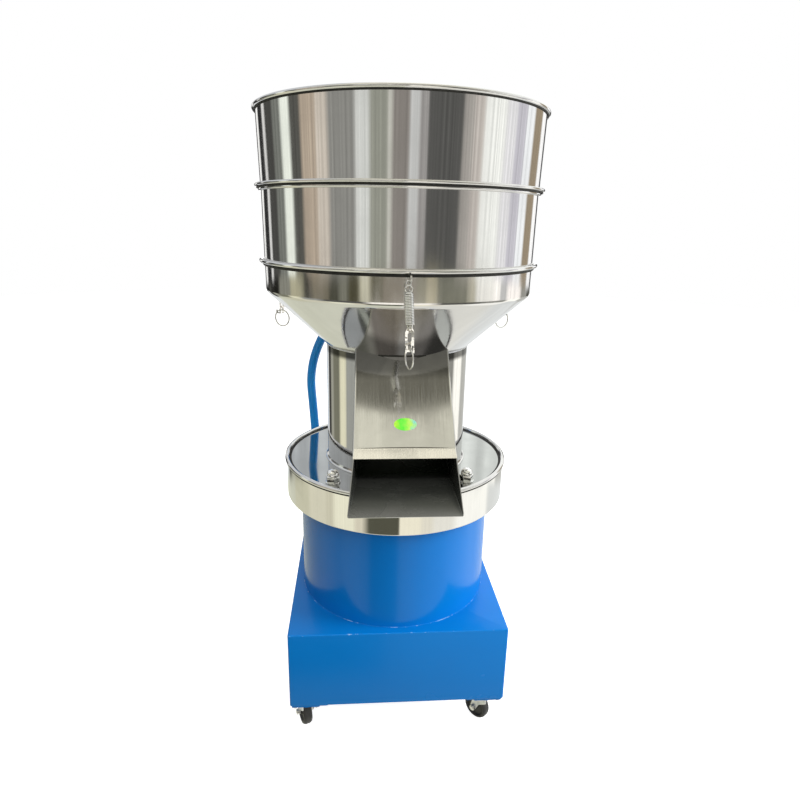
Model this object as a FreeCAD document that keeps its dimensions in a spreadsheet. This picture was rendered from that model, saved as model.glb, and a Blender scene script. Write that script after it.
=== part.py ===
import FreeCAD, Part
import math
import os
import re
import Sketcher

# Vibrating sieve on a wheeled cabinet. Millimetres, +Z up, front and chute face -Y.
# Origin: the machine's axis at floor level.

os.makedirs("parts", exist_ok=True)
doc = FreeCAD.newDocument("vibrating_sieve")
sheet = doc.addObject("Spreadsheet::Sheet", "sizes")
nodes = []

sizes = {
    # sheet thicknesses and clearances
    "steel_sheet": 1.5,
    "paint_sheet": 2.0,
    "run_clear": 0.05,
    "slide_clear": 0.4,
    # cabinet on casters
    "cabinet_low": 90,
    "cabinet_tall": 186,
    "cabinet_margin": 19.2,
    "cabinet_lip": 22,
    "cabinet_corner": 3,
    "vent_radius": 150,
    "corner_plate": 84,
    "corner_cut": 26,
    "corner_thick": 4,
    # drum standing on the cabinet
    "drum_radius": 222.8,
    "drum_sheet": 2.5,
    "drum_tall": 264,
    "flange_out": 24.2,
    "flange_in": 22.8,
    "flange_thick": 4,
    # supports and studs, one in each quarter
    "stud_inset": 1,
    "stud_angle": 50,
    "stud_radius": 8,
    "seat_radius": 20,
    "seat_thick": 3,
    "seat_boss": 11,
    "seat_boss_tall": 8,
    "seat_taper": 1,
    "spring_room": 58,
    "spring_mean": 15.5,
    "spring_wire": 5,
    "spring_turns": 4,
    "washer_radius": 16,
    "washer_thick": 3,
    "nut_corner": 13.8,
    "nut_tall": 11,
    "nut_bore": 16,
    "dome_radius": 11.2,
    "dome_tall": 12.2,
    "dome_sink": 2,
    # vibrating cap
    "plate_thick": 4,
    "skirt_gap": 7,
    "skirt_drop": 83,
    "cap_bead": 9.5,
    "cap_bead_out": 4,
    "cap_bead_rise": 3,
    # neck and funnel
    "neck_radius": 159,
    "neck_tall": 270.5,
    "foot_ring_out": 5,
    "foot_ring_tall": 3,
    "foot_ring_slope": 2,
    "cone_tall": 116.5,
    "cone_inset": 0.7,
    "collar_radius": 285.7,
    "collar_flare": 0.8,
    "collar_tall": 57,
    "funnel_bead": 8,
    "funnel_bead_drop": 2.5,
    "gasket_half": 3,
    "gasket_thick": 3,
    # sieve ring
    "sieve_gap": 5.5,
    "sieve_tall": 140,
    "sieve_step": 0.5,
    "sieve_flare": 2,
    "sieve_turn": 1,
    "sieve_foot_out": 10.5,
    "sieve_foot_bead": 8,
    "sieve_head_out": 5,
    "sieve_head_bead": 7,
    "mesh_rise": 14.5,
    "mesh_thick": 1,
    "mesh_bar": 3,
    "hoop_wide": 5,
    "hoop_tall": 8,
    # hopper ring
    "hopper_gap": 3.5,
    "hopper_tall": 147,
    "hopper_step": 0.5,
    "hopper_flare": 4.9,
    "hopper_turn": 2,
    "hopper_foot_out": 11.5,
    "hopper_foot_bead": 6,
    "hopper_bead_rise": 4,
    "hopper_rim_out": 5.6,
    "hopper_bead": 8,
    "locator_clear": 0.9,
    "locator_drop": 14,
    # chute
    "chute_tuck": 59,
    "chute_bend_out": 86,
    "chute_mouth_out": 166,
    "chute_roof_in": 6.5,
    "chute_floor_rise": 122.5,
    "chute_bend_rise": 40,
    "chute_lip_drop": 4,
    "chute_mouth_tall": 24.4,
    "chute_share": 0.588,
    "chute_bend_flare": 2.5,
    "chute_top_flare": 6.5,
    "chute_mouth_flare": 8.5,
    "chute_lip_flare": 18,
    "brow_out": 103,
    "brow_deep": 17,
    "brow_drop": 14,
    "deflector_drop": 10.5,
    "deflector_thick": 2,
    # motor hung below the cap plate
    "bracket_radius": 112,
    "bracket_wall": 7,
    "bracket_drop": 78,
    "bracket_floor": 8,
    "motor_radius": 74,
    "motor_clear": 1,
    "motor_drop": 32,
    "motor_tall": 146,
    "motor_flange_out": 34,
    "motor_flange_thick": 10,
    "bell_tall": 14,
    "bell_slope": 7,
    "shaft_radius": 10,
    "shaft_slope": 1,
    "shaft_low_end": 4,
    "shaft_high_end": 2,
    "bearing_radius": 23.5,
    "bearing_tall": 12,
    "weight_radius": 60,
    "weight_hub": 19,
    "weight_root": 6,
    "weight_tall": 14,
    "weight_gap": 3,
    "bolt_out": 20,
    "bolt_head": 7,
    "bolt_head_tall": 6,
    # spring clamps
    "clamp_out": 19.5,
    "clamp_drop": 11,
    "clamp_side_angle": 117,
    "lug_thick": 3,
    "lug_round": 6,
    "lug_hole": 3,
    "lug_root": 20,
    "lug_web": 4,
    "eye_drop": 1.65,
    "eye_mean": 5,
    "eye_wire": 1.6,
    "coil_drop": 20.5,
    "coil_tall": 60,
    "coil_radius": 7,
    "coil_bore": 5,
    "coil_cap": 3,
    "coil_groove": 0.9,
    "hook_gap": 3,
    "hook_tall": 44,
    "hook_half": 8,
    "hook_thick": 2.5,
    "hook_shoulder": 8,
    "hook_stem": 50,
    "window_drop": 18,
    "window_half": 5,
    "window_radius": 3.5,
    "claw_reach": 10,
    "claw_tall": 9,
    "claw_slit": 10.6,
    "ring_mean": 19.5,
    "ring_wire": 3,
    "ring_rise": 8,
    "ring_hole_rise": 9.9,
    "ring_hole_half": 1,
    "ring_hole_radius": 3,
    "ring_twist": 16,
    # casters
    "caster_inset": 35,
    "caster_plate": 62,
    "caster_plate_thick": 3,
    "caster_bolt": 5,
    "caster_bolt_tall": 4.5,
    "caster_bolt_inset": 7,
    "race_radius": 23,
    "race_tall": 9,
    "race_slope": 5,
    "race_band": 3,
    "wheel_radius": 31,
    "wheel_wide": 21,
    "wheel_face": 24,
    "wheel_web": 5,
    "wheel_hub": 8,
    "wheel_slope": 3,
    "wheel_crown": 4,
    "wheel_side_gap": 0.5,
    "axle_radius": 4,
    "axle_head": 6.5,
    "axle_head_tall": 5,
    "fork_gap": 25,
    "fork_sheet": 2.5,
    "fork_half": 16,
    "fork_skirt": 12,
    "fork_nose": 7,
    "caster_trail": 20,
    # hose
    "hose_radius": 11,
    "hose_bore": 7.5,
    "hose_azimuth": 46.6,
    "hose_off": 10.5,
    "hose_rise": 10,
    "hose_straight": 150,
    "hose_lean": 12,
    "hose_lean_rise": 320,
    "hose_bend_out": 43.4,
    "hose_root_out": 38,
    "hose_end_gap": 10,
    "hose_grip": 0.02,
    "spigot_wall": 2.5,
    "spigot_flange": 17,
    "spigot_flange_thick": 4,
    "spigot_tall": 26,
    "band_thick": 1,
    "band_wide": 9,
    "band_rise": 4,
    "band_screw": 6,
    # switch on the back
    "switch_wide": 70,
    "switch_tall": 92,
    "switch_deep": 42,
    "switch_round": 5,
    "switch_x": 120,
    "switch_rise": 96,
    "gland_radius": 11,
    "gland_tall": 16,
    "knob_radius": 17,
    "knob_tall": 20,
    "dial_tall": 7,
    "grip_half": 4,
    "grip_inset": 2,
}
worked_out = {
    "cabinet_side": "2 * (drum_radius + cabinet_margin)",
    "cabinet_top": "cabinet_low + cabinet_tall",
    "drum_top": "cabinet_top + drum_tall",
    "flange_outer": "drum_radius + flange_out",
    "flange_inner": "drum_radius - flange_in",
    "stud_x": "(drum_radius - stud_inset) * cos(stud_angle)",
    "stud_y": "(drum_radius - stud_inset) * sin(stud_angle)",
    "nut_low": "plate_top + washer_thick",
    "nut_top": "nut_low + nut_tall",
    "plate_low": "drum_top + spring_room",
    "plate_top": "plate_low + plate_thick",
    "skirt_radius": "flange_outer + skirt_gap + steel_sheet",
    "skirt_foot": "plate_top - skirt_drop",
    "cap_bead_height": "plate_top + cap_bead_rise",
    "foot_ring": "neck_radius + foot_ring_out",
    "neck_top": "plate_top + neck_tall",
    "collar_low": "neck_top + cone_tall",
    "collar_top": "collar_low + collar_tall",
    "collar_top_radius": "collar_radius + collar_flare",
    "sieve_foot": "collar_top + sieve_gap",
    "sieve_flange_low": "sieve_foot - sieve_turn",
    "sieve_flange_top": "sieve_flange_low + steel_sheet",
    "sieve_head": "sieve_foot + sieve_tall",
    "sieve_low_radius": "collar_top_radius + sieve_step",
    "sieve_top_radius": "sieve_low_radius + sieve_flare",
    "sieve_foot_rim": "sieve_low_radius + sieve_foot_out",
    "sieve_head_rim": "sieve_top_radius + sieve_head_out",
    "mesh_height": "sieve_foot + mesh_rise",
    "hopper_foot": "sieve_head + hopper_gap",
    "hopper_head": "hopper_foot + hopper_tall",
    "hopper_low_radius": "sieve_top_radius + hopper_step",
    "hopper_top_radius": "hopper_low_radius + hopper_flare",
    "hopper_foot_rim": "hopper_low_radius + hopper_foot_out",
    "hopper_rim": "hopper_top_radius + hopper_rim_out",
    "locator_radius": "sieve_top_radius - steel_sheet - locator_clear",
    "chute_back": "neck_radius - chute_tuck",
    "chute_bend": "neck_radius + chute_bend_out",
    "chute_mouth": "neck_radius + chute_mouth_out",
    "chute_roof_start": "neck_radius - chute_roof_in",
    "chute_floor_back": "plate_top + chute_floor_rise",
    "chute_floor_bend": "plate_top + chute_bend_rise",
    "chute_floor_lip": "plate_top - chute_lip_drop",
    "chute_roof_fall": "neck_top - chute_floor_lip - chute_mouth_tall",
    "chute_roof_slope": "chute_roof_fall / (chute_mouth - chute_roof_start)",
    "chute_half_back": "neck_radius * chute_share",
    "chute_half_bend": "chute_half_back + chute_bend_flare",
    "chute_half_top": "chute_half_back + chute_top_flare",
    "chute_half_mouth": "chute_half_back + chute_mouth_flare",
    "chute_half_lip": "chute_half_back + chute_lip_flare",
    "brow_start": "neck_radius + brow_out",
    "brow_end": "brow_start + brow_deep",
    "brow_top": "neck_top - (brow_start - chute_roof_start) * chute_roof_slope",
    "brow_low": "brow_top - brow_drop",
    "deflector_back": "neck_top - deflector_drop",
    "bracket_foot": "plate_top - bracket_drop",
    "motor_high": "plate_top - motor_drop",
    "motor_low": "motor_high - motor_tall",
    "motor_flange": "motor_radius + motor_flange_out",
    "bolt_circle": "motor_radius + bolt_out",
    "clamp_reach": "collar_top_radius + clamp_out",
    "clamp_pivot": "sieve_foot - clamp_drop",
    "coil_top": "clamp_pivot - coil_drop",
    "coil_low": "coil_top - coil_tall",
    "hook_top": "coil_low - hook_gap",
    "hook_low": "hook_top - hook_tall",
    "ring_hang": "hook_low + ring_rise",
    "hose_foot_radius": "skirt_radius + hose_off",
    "hose_start": "cabinet_top + hose_rise",
    "hose_bend_radius": "skirt_radius + hose_bend_out",
    "hose_cone_radius": "neck_radius + hose_root_out",
    "switch_z": "cabinet_low + switch_rise",
}
for row, (word, number) in enumerate(sizes.items(), 1):
    sheet.set("A%d" % row, word)
    sheet.set("B%d" % row, str(number))
    sheet.setAlias("B%d" % row, word)
for row, (word, rule) in enumerate(worked_out.items(), 1):
    sheet.set("D%d" % row, word)
    sheet.setAlias("E%d" % row, word)
for row, rule in enumerate(worked_out.values(), 1):
    sheet.set("E%d" % row, "=" + rule)
doc.recompute()


def num(expression):
    """Number that an expression over the sheet gives."""
    return float(sheet.evalExpression(expression))


def full(expression):
    """Expression with each size name pointing into the sheet."""
    def point(match):
        word = match.group(0)
        return "sizes." + word if word in sizes or word in worked_out else word
    return re.sub(r"[a-z_]+", point, expression)


def size(expression):
    return num(full(expression))


def origin_plane(body, role):
    for feature in body.Origin.OriginFeatures:
        if feature.Role == role:
            return feature


def new_body(label):
    body = doc.addObject("PartDesign::Body", label)
    body.Label = label
    body.AllowCompound = True
    return body


def new_sketch(body, name, role, offset=None):
    """Sketch on one of the body's own planes, moved along the plane's normal."""
    sketch = body.newObject("Sketcher::SketchObject", name)
    sketch.AttachmentSupport = [(origin_plane(body, role), "")]
    sketch.MapMode = "FlatFace"
    if offset:
        sketch.setExpression(".AttachmentOffset.Base.z", full(offset))
    return sketch


def pin(sketch, geo, pos, across, up):
    """Hold one sketch point at two sheet expressions."""
    for kind, axis, expression in (("DistanceX", -2, across), ("DistanceY", -1, up)):
        if expression == "0":
            sketch.addConstraint(Sketcher.Constraint("PointOnObject", geo, pos, axis))
        else:
            rule = sketch.addConstraint(
                Sketcher.Constraint(kind, -1, 1, geo, pos, size(expression)))
            sketch.setExpression("Constraints[%d]" % rule, full(expression))


def add_outline(sketch, corners):
    """Closed polygon through corners given as pairs of expressions."""
    points = [FreeCAD.Vector(size(a), size(b), 0) for a, b in corners]
    first = sketch.GeometryCount
    count = len(points)
    for i in range(count):
        sketch.addGeometry(Part.LineSegment(points[i], points[(i + 1) % count]), False)
    for i in range(count):
        nxt = first + (i + 1) % count
        sketch.addConstraint(Sketcher.Constraint("Coincident", first + i, 2, nxt, 1))
    for i, (across, up) in enumerate(corners):
        pin(sketch, first + i, 1, across, up)


def add_circle(sketch, across, up, radius):
    centre = FreeCAD.Vector(size(across), size(up), 0)
    up_z = FreeCAD.Vector(0, 0, 1)
    geo = sketch.addGeometry(Part.Circle(centre, up_z, size(radius)), False)
    pin(sketch, geo, 3, across, up)
    rule = sketch.addConstraint(Sketcher.Constraint("Radius", geo, size(radius)))
    sketch.setExpression("Constraints[%d]" % rule, full(radius))


def add_slot(sketch, across, up, half, radius):
    """Upright oval: two half circles joined by straight sides."""
    high = FreeCAD.Vector(size(across), size(up) + size(half), 0)
    low = FreeCAD.Vector(size(across), size(up) - size(half), 0)
    up_z = FreeCAD.Vector(0, 0, 1)
    reach = size(radius)
    side = FreeCAD.Vector(reach, 0, 0)
    top = sketch.addGeometry(
        Part.ArcOfCircle(Part.Circle(high, up_z, reach), 0, math.pi), False)
    left = sketch.addGeometry(Part.LineSegment(high - side, low - side), False)
    foot = sketch.addGeometry(
        Part.ArcOfCircle(Part.Circle(low, up_z, reach), math.pi, 2 * math.pi), False)
    right = sketch.addGeometry(Part.LineSegment(low + side, high + side), False)
    sketch.addConstraint(Sketcher.Constraint("Tangent", top, 2, left, 1))
    sketch.addConstraint(Sketcher.Constraint("Tangent", left, 2, foot, 1))
    sketch.addConstraint(Sketcher.Constraint("Tangent", foot, 2, right, 1))
    sketch.addConstraint(Sketcher.Constraint("Tangent", right, 2, top, 1))
    pin(sketch, top, 3, across, up + " + " + half)
    rule = sketch.addConstraint(
        Sketcher.Constraint("DistanceY", -1, 1, foot, 3, size(up) - size(half)))
    sketch.setExpression("Constraints[%d]" % rule, full(up + " - " + half))
    rule = sketch.addConstraint(Sketcher.Constraint("Radius", top, reach))
    sketch.setExpression("Constraints[%d]" % rule, full(radius))


def turn(body, sketch, groove=False):
    """Revolve the sketch about its own upright axis, which is the body's Z."""
    kind = "PartDesign::Groove" if groove else "PartDesign::Revolution"
    feature = body.newObject(kind, "Turn")
    feature.Profile = sketch
    feature.ReferenceAxis = (sketch, ["V_Axis"])
    feature.Angle = 360
    sketch.Visibility = False
    return feature


def pad(body, sketch, length, midplane=False, reverse=False):
    feature = body.newObject("PartDesign::Pad", "Pad")
    feature.Profile = sketch
    feature.setExpression("Length", full(length))
    feature.Midplane = midplane
    feature.Reversed = reverse
    return feature


def pocket(body, sketch, length, midplane=False, reverse=False):
    feature = body.newObject("PartDesign::Pocket", "Pocket")
    feature.Profile = sketch
    feature.setExpression("Length", full(length))
    feature.Midplane = midplane
    feature.Reversed = reverse
    return feature


def place(thing, x="0", y="0", z="0"):
    for axis, expression in (("x", x), ("y", y), ("z", z)):
        if expression != "0":
            thing.setExpression(".Placement.Base.%s" % axis, full(expression))


def keep(thing, label):
    """Name a finished sub-part and list it for export."""
    thing.Label = label
    nodes.append(thing)
    return thing


def turned(label, outlines, circles=()):
    """Body made of full turns about Z: closed outlines and round beads."""
    body = new_body(label)
    for corners in outlines:
        sketch = new_sketch(body, "Profile", "XZ_Plane")
        add_outline(sketch, corners)
        turn(body, sketch)
    for across, up, radius in circles:
        sketch = new_sketch(body, "Bead", "XZ_Plane")
        add_circle(sketch, across, up, radius)
        turn(body, sketch)
    return body


def four_of(one, label):
    """The piece in one quarter, mirrored into all four."""
    mirror_x = doc.addObject("Part::Mirroring", label + "_x")
    mirror_x.Source = one
    mirror_x.Normal = (1, 0, 0)
    pair = doc.addObject("Part::Compound", label + "_pair")
    pair.Links = [one, mirror_x]
    mirror_y = doc.addObject("Part::Mirroring", label + "_y")
    mirror_y.Source = pair
    mirror_y.Normal = (0, 1, 0)
    group = doc.addObject("Part::Compound", label)
    group.Links = [pair, mirror_y]
    return keep(group, label)


def square(sketch, half):
    add_outline(sketch, [("-" + half, "-" + half), (half, "-" + half), (half, half),
                         ("-" + half, half)])


# Cabinet: folded box, open below, with welded corner plates for the casters
cabinet = new_body("base_cabinet")
cabinet_half = "cabinet_side / 2"
walls = new_sketch(cabinet, "Walls", "XY_Plane", "cabinet_low")
square(walls, cabinet_half)
square(walls, "(cabinet_side / 2 - paint_sheet)")
pad(cabinet, walls, "cabinet_top - cabinet_low")
lid = new_sketch(cabinet, "Lid", "XY_Plane", "cabinet_top - paint_sheet")
square(lid, cabinet_half)
add_circle(lid, "0", "0", "vent_radius")
pad(cabinet, lid, "paint_sheet")
lip = new_sketch(cabinet, "Lip", "XY_Plane", "cabinet_low")
square(lip, cabinet_half)
square(lip, "(cabinet_side / 2 - cabinet_lip)")
pad(cabinet, lip, "paint_sheet")
doc.recompute()
box_shell = cabinet.Tip
upright_edges = []
for index, edge in enumerate(box_shell.Shape.Edges, 1):
    box = edge.BoundBox
    wall = size(cabinet_half) - 0.1
    at_corner = min(abs(box.XMin), abs(box.XMax)) > wall and min(
        abs(box.YMin), abs(box.YMax)) > wall
    if at_corner and box.ZLength > size("paint_sheet"):
        upright_edges.append("Edge%d" % index)
fillet = cabinet.newObject("PartDesign::Fillet", "Corners")
fillet.Base = (box_shell, upright_edges)
fillet.setExpression("Radius", full("cabinet_corner"))
keep(cabinet, "base_cabinet")

caster_at = "(cabinet_side / 2 - caster_inset)"
corner = new_body("corner_plate")
sketch = new_sketch(corner, "Plate", "XY_Plane", "cabinet_low - corner_thick")
edge_in = "(cabinet_side / 2 - corner_plate)"
edge_out = "(cabinet_side / 2 - 2 * paint_sheet)"
edge_cut = "(cabinet_side / 2 - corner_plate + corner_cut)"
add_outline(sketch, [(edge_in, edge_cut), (edge_cut, edge_in), (edge_out, edge_in),
                     (edge_out, edge_out), (edge_in, edge_out)])
pad(corner, sketch, "corner_thick")
four_of(corner, "corner_plates")

# Caster heads fixed under the corner plates
mount = new_body("caster_mount")
race = "(cabinet_low - corner_thick - caster_plate_thick)"
sketch = new_sketch(mount, "Plate", "XY_Plane", race)
square(sketch, "(caster_plate / 2)")
pad(mount, sketch, "caster_plate_thick")
sketch = new_sketch(mount, "Race", "XZ_Plane")
race_in = race + " + caster_plate_thick / 6"
add_outline(sketch, [
    ("0", race + " - race_tall"), ("race_radius - race_slope", race + " - race_tall"),
    ("race_radius", race + " - race_band"), ("race_radius", race_in), ("0", race_in)])
turn(mount, sketch)
place(mount, caster_at, caster_at)
four_of(mount, "caster_mounts")

bolt = new_body("caster_bolt")
bolt_off = "(caster_plate / 2 - caster_bolt_inset)"
sketch = new_sketch(bolt, "Heads", "XY_Plane", race + " - caster_bolt_tall")
for a in (bolt_off, "-" + bolt_off):
    for b in (bolt_off, "-" + bolt_off):
        add_circle(sketch, a, b, "caster_bolt")
pad(bolt, sketch, "caster_bolt_tall")
place(bolt, caster_at, caster_at)
four_of(bolt, "caster_bolts")

# Drum with the flange that carries the springs
flange_low = "drum_top - flange_thick"
drum = turned("drum", [[
    ("drum_radius - drum_sheet", "cabinet_top"), ("drum_radius", "cabinet_top"),
    ("drum_radius", flange_low), ("flange_outer", flange_low), ("flange_outer", "drum_top"),
    ("flange_inner", "drum_top"), ("flange_inner", flange_low),
    ("drum_radius - drum_sheet", flange_low)]])
keep(drum, "drum")

seat = turned("seat_low", [[
    ("0", "0"), ("seat_radius", "0"), ("seat_radius", "seat_thick"),
    ("seat_boss", "seat_thick"), ("seat_boss - seat_taper", "seat_thick + seat_boss_tall"),
    ("0", "seat_thick + seat_boss_tall")]])
place(seat, "stud_x", "stud_y", "drum_top")
four_of(seat, "spring_seats_low")
seat = turned("seat_high", [[
    ("0", "0"), ("seat_radius", "0"), ("seat_radius", "-seat_thick"),
    ("seat_boss", "-seat_thick"), ("seat_boss - seat_taper", "-seat_thick - seat_boss_tall"),
    ("0", "-seat_thick - seat_boss_tall")]])
place(seat, "stud_x", "stud_y", "plate_low")
four_of(seat, "spring_seats_high")

spring = new_body("spring_one")
spring_low = "(drum_top + seat_thick + spring_wire / 2)"
spring_rise = "(spring_room - 2 * seat_thick - spring_wire)"
wire = new_sketch(spring, "Wire", "XZ_Plane")
add_circle(wire, "spring_mean", "0", "spring_wire / 2")
coil = spring.newObject("PartDesign::AdditiveHelix", "Coil")
coil.Profile = wire
coil.ReferenceAxis = (wire, ["V_Axis"])
coil.Mode = 1
coil.setExpression("Height", full(spring_rise))
coil.setExpression("Turns", full("spring_turns"))
place(spring, "stud_x", "stud_y", spring_low)
four_of(spring, "support_springs")

# Cap: flat plate in a rolled skirt, on studs with dome nuts
plate = turned("cap_plate", [[
    ("0", "plate_low"), ("skirt_radius - steel_sheet", "plate_low"),
    ("skirt_radius - steel_sheet", "plate_top"), ("0", "plate_top")]])
keep(plate, "cap_plate")
bead_at = "(skirt_radius + cap_bead_out - cap_bead / 2)"
skirt = turned("cap_skirt", [[
    ("skirt_radius - steel_sheet", "skirt_foot"), ("skirt_radius", "skirt_foot"),
    ("skirt_radius", "cap_bead_height"), ("skirt_radius - steel_sheet", "cap_bead_height")]],
    [(bead_at, "cap_bead_height", "cap_bead / 2")])
trim = new_sketch(skirt, "Trim", "XZ_Plane")
trim_in = "skirt_radius - steel_sheet - cap_bead"
add_outline(trim, [(trim_in, "plate_low"), ("skirt_radius - steel_sheet", "plate_low"),
                   ("skirt_radius - steel_sheet", "plate_top"), (trim_in, "plate_top")])
turn(skirt, trim, groove=True)
keep(skirt, "cap_skirt")

holes = new_sketch(plate, "StudHoles", "XY_Plane", "plate_low")
for a in ("stud_x", "-stud_x"):
    for b in ("stud_y", "-stud_y"):
        add_circle(holes, a, b, "stud_radius")
pocket(plate, holes, "plate_thick", reverse=True)
stud = new_body("stud_one")
sketch = new_sketch(stud, "Shank", "XY_Plane", "plate_low")
add_circle(sketch, "0", "0", "stud_radius")
pad(stud, sketch, "plate_thick + washer_thick + nut_bore")
place(stud, "stud_x", "stud_y")
four_of(stud, "studs")

washer = turned("washer_one", [[
    ("stud_radius", "plate_top"), ("washer_radius", "plate_top"), ("washer_radius", "nut_low"),
    ("stud_radius", "nut_low")]])
place(washer, "stud_x", "stud_y")
four_of(washer, "washers")

nut = new_body("nut_one")
hexagon = new_sketch(nut, "Hexagon", "XY_Plane", "nut_low")
nut_side = "nut_corner * cos(30)"
add_outline(hexagon, [("nut_corner", "0"), ("nut_corner / 2", nut_side),
                      ("-nut_corner / 2", nut_side), ("-nut_corner", "0"),
                      ("-nut_corner / 2", "-" + nut_side), ("nut_corner / 2", "-" + nut_side)])
pad(nut, hexagon, "nut_tall")
dome = new_sketch(nut, "Dome", "XZ_Plane")
add_outline(dome, [("0", "nut_top - dome_sink"), ("dome_radius", "nut_top - dome_sink"),
                   ("dome_radius", "nut_top + 0.2 * dome_tall"),
                   ("0.86 * dome_radius", "nut_top + 0.57 * dome_tall"),
                   ("0.54 * dome_radius", "nut_top + 0.87 * dome_tall"),
                   ("0", "nut_top + dome_tall")])
turn(nut, dome)
bore = new_sketch(nut, "Bore", "XY_Plane", "nut_low")
add_circle(bore, "0", "0", "stud_radius")
pocket(nut, bore, "nut_bore", reverse=True)
place(nut, "stud_x", "stud_y")
four_of(nut, "dome_nuts")

# Chute: lofted duct, narrow at the neck and flared at the mouth
def duct_section(body, name, distance, roof, floor, half_top, half_low, inset):
    sketch = new_sketch(body, name, "XZ_Plane", distance)
    high = "(%s - %s)" % (roof, inset)
    under = "(%s - steel_sheet + %s)" % (floor, inset)
    top = "(%s - %s)" % (half_top, inset)
    foot = "(%s - %s)" % (half_low, inset)
    add_outline(sketch, [("-" + foot, under), (foot, under), (top, high), ("-" + top, high)])
    return sketch


def duct(body, name, inset, cut=False):
    """Three sections joined by flat faces; inset moves every wall inwards."""
    roof = "(neck_top - (%s - chute_roof_start) * chute_roof_slope)"
    parts = [
        duct_section(body, name + "Back", "chute_back", roof % "chute_back",
                     "chute_floor_back", "chute_half_back", "chute_half_back", inset),
        duct_section(body, name + "Bend", "chute_bend", roof % "chute_bend",
                     "chute_floor_bend", "chute_half_top", "chute_half_bend", inset),
        duct_section(body, name + "Mouth", "chute_mouth", roof % "chute_mouth",
                     "chute_floor_lip", "chute_half_mouth", "chute_half_lip", inset)]
    kind = "PartDesign::SubtractiveLoft" if cut else "PartDesign::AdditiveLoft"
    loft = body.newObject(kind, name)
    loft.Profile = parts[0]
    loft.Sections = parts[1:]
    loft.Ruled = True
    return loft


chute_body = new_body("chute_duct")
duct(chute_body, "Outer", "0")
duct(chute_body, "Inner", "steel_sheet", cut=True)
mouth = new_sketch(chute_body, "MouthCut", "YZ_Plane")
clear_out = "-chute_mouth - chute_half_top"
clear_up = "brow_top + chute_half_top"
lip_low = "chute_floor_lip - chute_lip_drop"
add_outline(mouth, [("-brow_end", "brow_low + steel_sheet"), ("-brow_start", "brow_top"),
                    ("-brow_start", clear_up), (clear_out, clear_up), (clear_out, lip_low),
                    ("-chute_mouth", lip_low)])
pocket(chute_body, mouth, "3 * chute_half_lip", midplane=True)
roof_end = new_sketch(chute_body, "RoofEnd", "YZ_Plane")
fall = "(chute_mouth - brow_start) * chute_roof_slope"
add_outline(roof_end, [("-brow_start", "brow_top + 2 * steel_sheet"),
                       ("-brow_start", "brow_top - 3 * steel_sheet"),
                       ("-chute_mouth", "brow_top - 3 * steel_sheet - " + fall),
                       ("-chute_mouth", "brow_top + 2 * steel_sheet - " + fall)])
pocket(chute_body, roof_end, "2 * (chute_half_top - steel_sheet)", midplane=True)
brow = new_sketch(chute_body, "Brow", "YZ_Plane")
add_outline(brow, [("-brow_start + steel_sheet", "brow_top"), ("-brow_end", "brow_low"),
                   ("-brow_end", "brow_low + 1.2 * steel_sheet"),
                   ("-brow_start", "brow_top + 1.1 * steel_sheet")])
pad(chute_body, brow, "2 * chute_half_top", midplane=True)

# Room that the neck and funnel take, cut from what joins them outside
room = turned("funnel_room", [[
    ("0", "plate_top"), ("neck_radius", "plate_top"), ("neck_radius", "neck_top"),
    ("collar_radius", "collar_low"), ("0", "collar_low")]])
chute = doc.addObject("Part::Cut", "chute")
chute.Base = chute_body
chute.Tool = room
keep(chute, "chute")

# Neck with its foot ring and the opening into the chute
neck_wall = turned("neck_wall", [[
    ("neck_radius - steel_sheet", "plate_top"), ("foot_ring", "plate_top"),
    ("foot_ring", "plate_top + foot_ring_tall"),
    ("neck_radius", "plate_top + foot_ring_tall + foot_ring_slope"),
    ("neck_radius", "neck_top"), ("neck_radius - steel_sheet", "neck_top")]])
opening = new_body("neck_opening")
duct(opening, "Inner", "steel_sheet")
crown = new_sketch(opening, "Crown", "YZ_Plane")
crown_low = "neck_top - chute_roof_in"
add_outline(crown, [("-chute_mouth", crown_low), ("0", crown_low),
                    ("0", "collar_low"), ("-chute_mouth", "collar_low")])
pocket(opening, crown, "3 * chute_half_lip", midplane=True)
neck = doc.addObject("Part::Cut", "neck")
neck.Base = neck_wall
neck.Tool = opening
keep(neck, "neck")

# Funnel: collar, cone and the rolled bead at its head
cone_in = "(neck_radius - steel_sheet)"
funnel = turned("funnel", [[
    (cone_in, "neck_top"), ("neck_radius", "neck_top"), ("collar_radius", "collar_low"),
    ("collar_top_radius", "collar_top"), ("collar_top_radius - steel_sheet", "collar_top"),
    ("collar_radius - steel_sheet", "collar_low + cone_inset"),
    (cone_in, "neck_top + cone_inset")]],
    [("collar_top_radius + steel_sheet", "collar_top - funnel_bead_drop", "funnel_bead / 2")])
keep(funnel, "funnel")
gasket_low = "sieve_flange_low - gasket_thick"
gasket = turned("gasket", [[
    ("collar_radius - gasket_half", gasket_low), ("collar_radius + gasket_half", gasket_low),
    ("collar_radius + gasket_half", "sieve_flange_low"),
    ("collar_radius - gasket_half", "sieve_flange_low")]])
keep(gasket, "gasket")

# Sloping plate inside the neck that throws the sifted food into the chute
slab = new_body("deflector_slab")
side = new_sketch(slab, "Side", "YZ_Plane")
slope = "((deflector_back - chute_floor_bend) / (chute_bend + neck_radius))"
front_z = "(chute_floor_bend + (chute_bend - neck_radius + steel_sheet) * %s)" % slope
add_outline(side, [("-neck_radius - 1", front_z + " - deflector_thick"),
                   ("neck_radius", "deflector_back - deflector_thick"),
                   ("neck_radius", "deflector_back"), ("-neck_radius - 1", front_z)])
pad(slab, side, "2 * neck_radius", midplane=True)
bore = turned("neck_bore", [[
    ("0", "plate_top"), (cone_in, "plate_top"), (cone_in, "neck_top"), ("0", "neck_top")]])
deflector = doc.addObject("Part::MultiCommon", "deflector")
deflector.Shapes = [slab, bore]
keep(deflector, "deflector")

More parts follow.
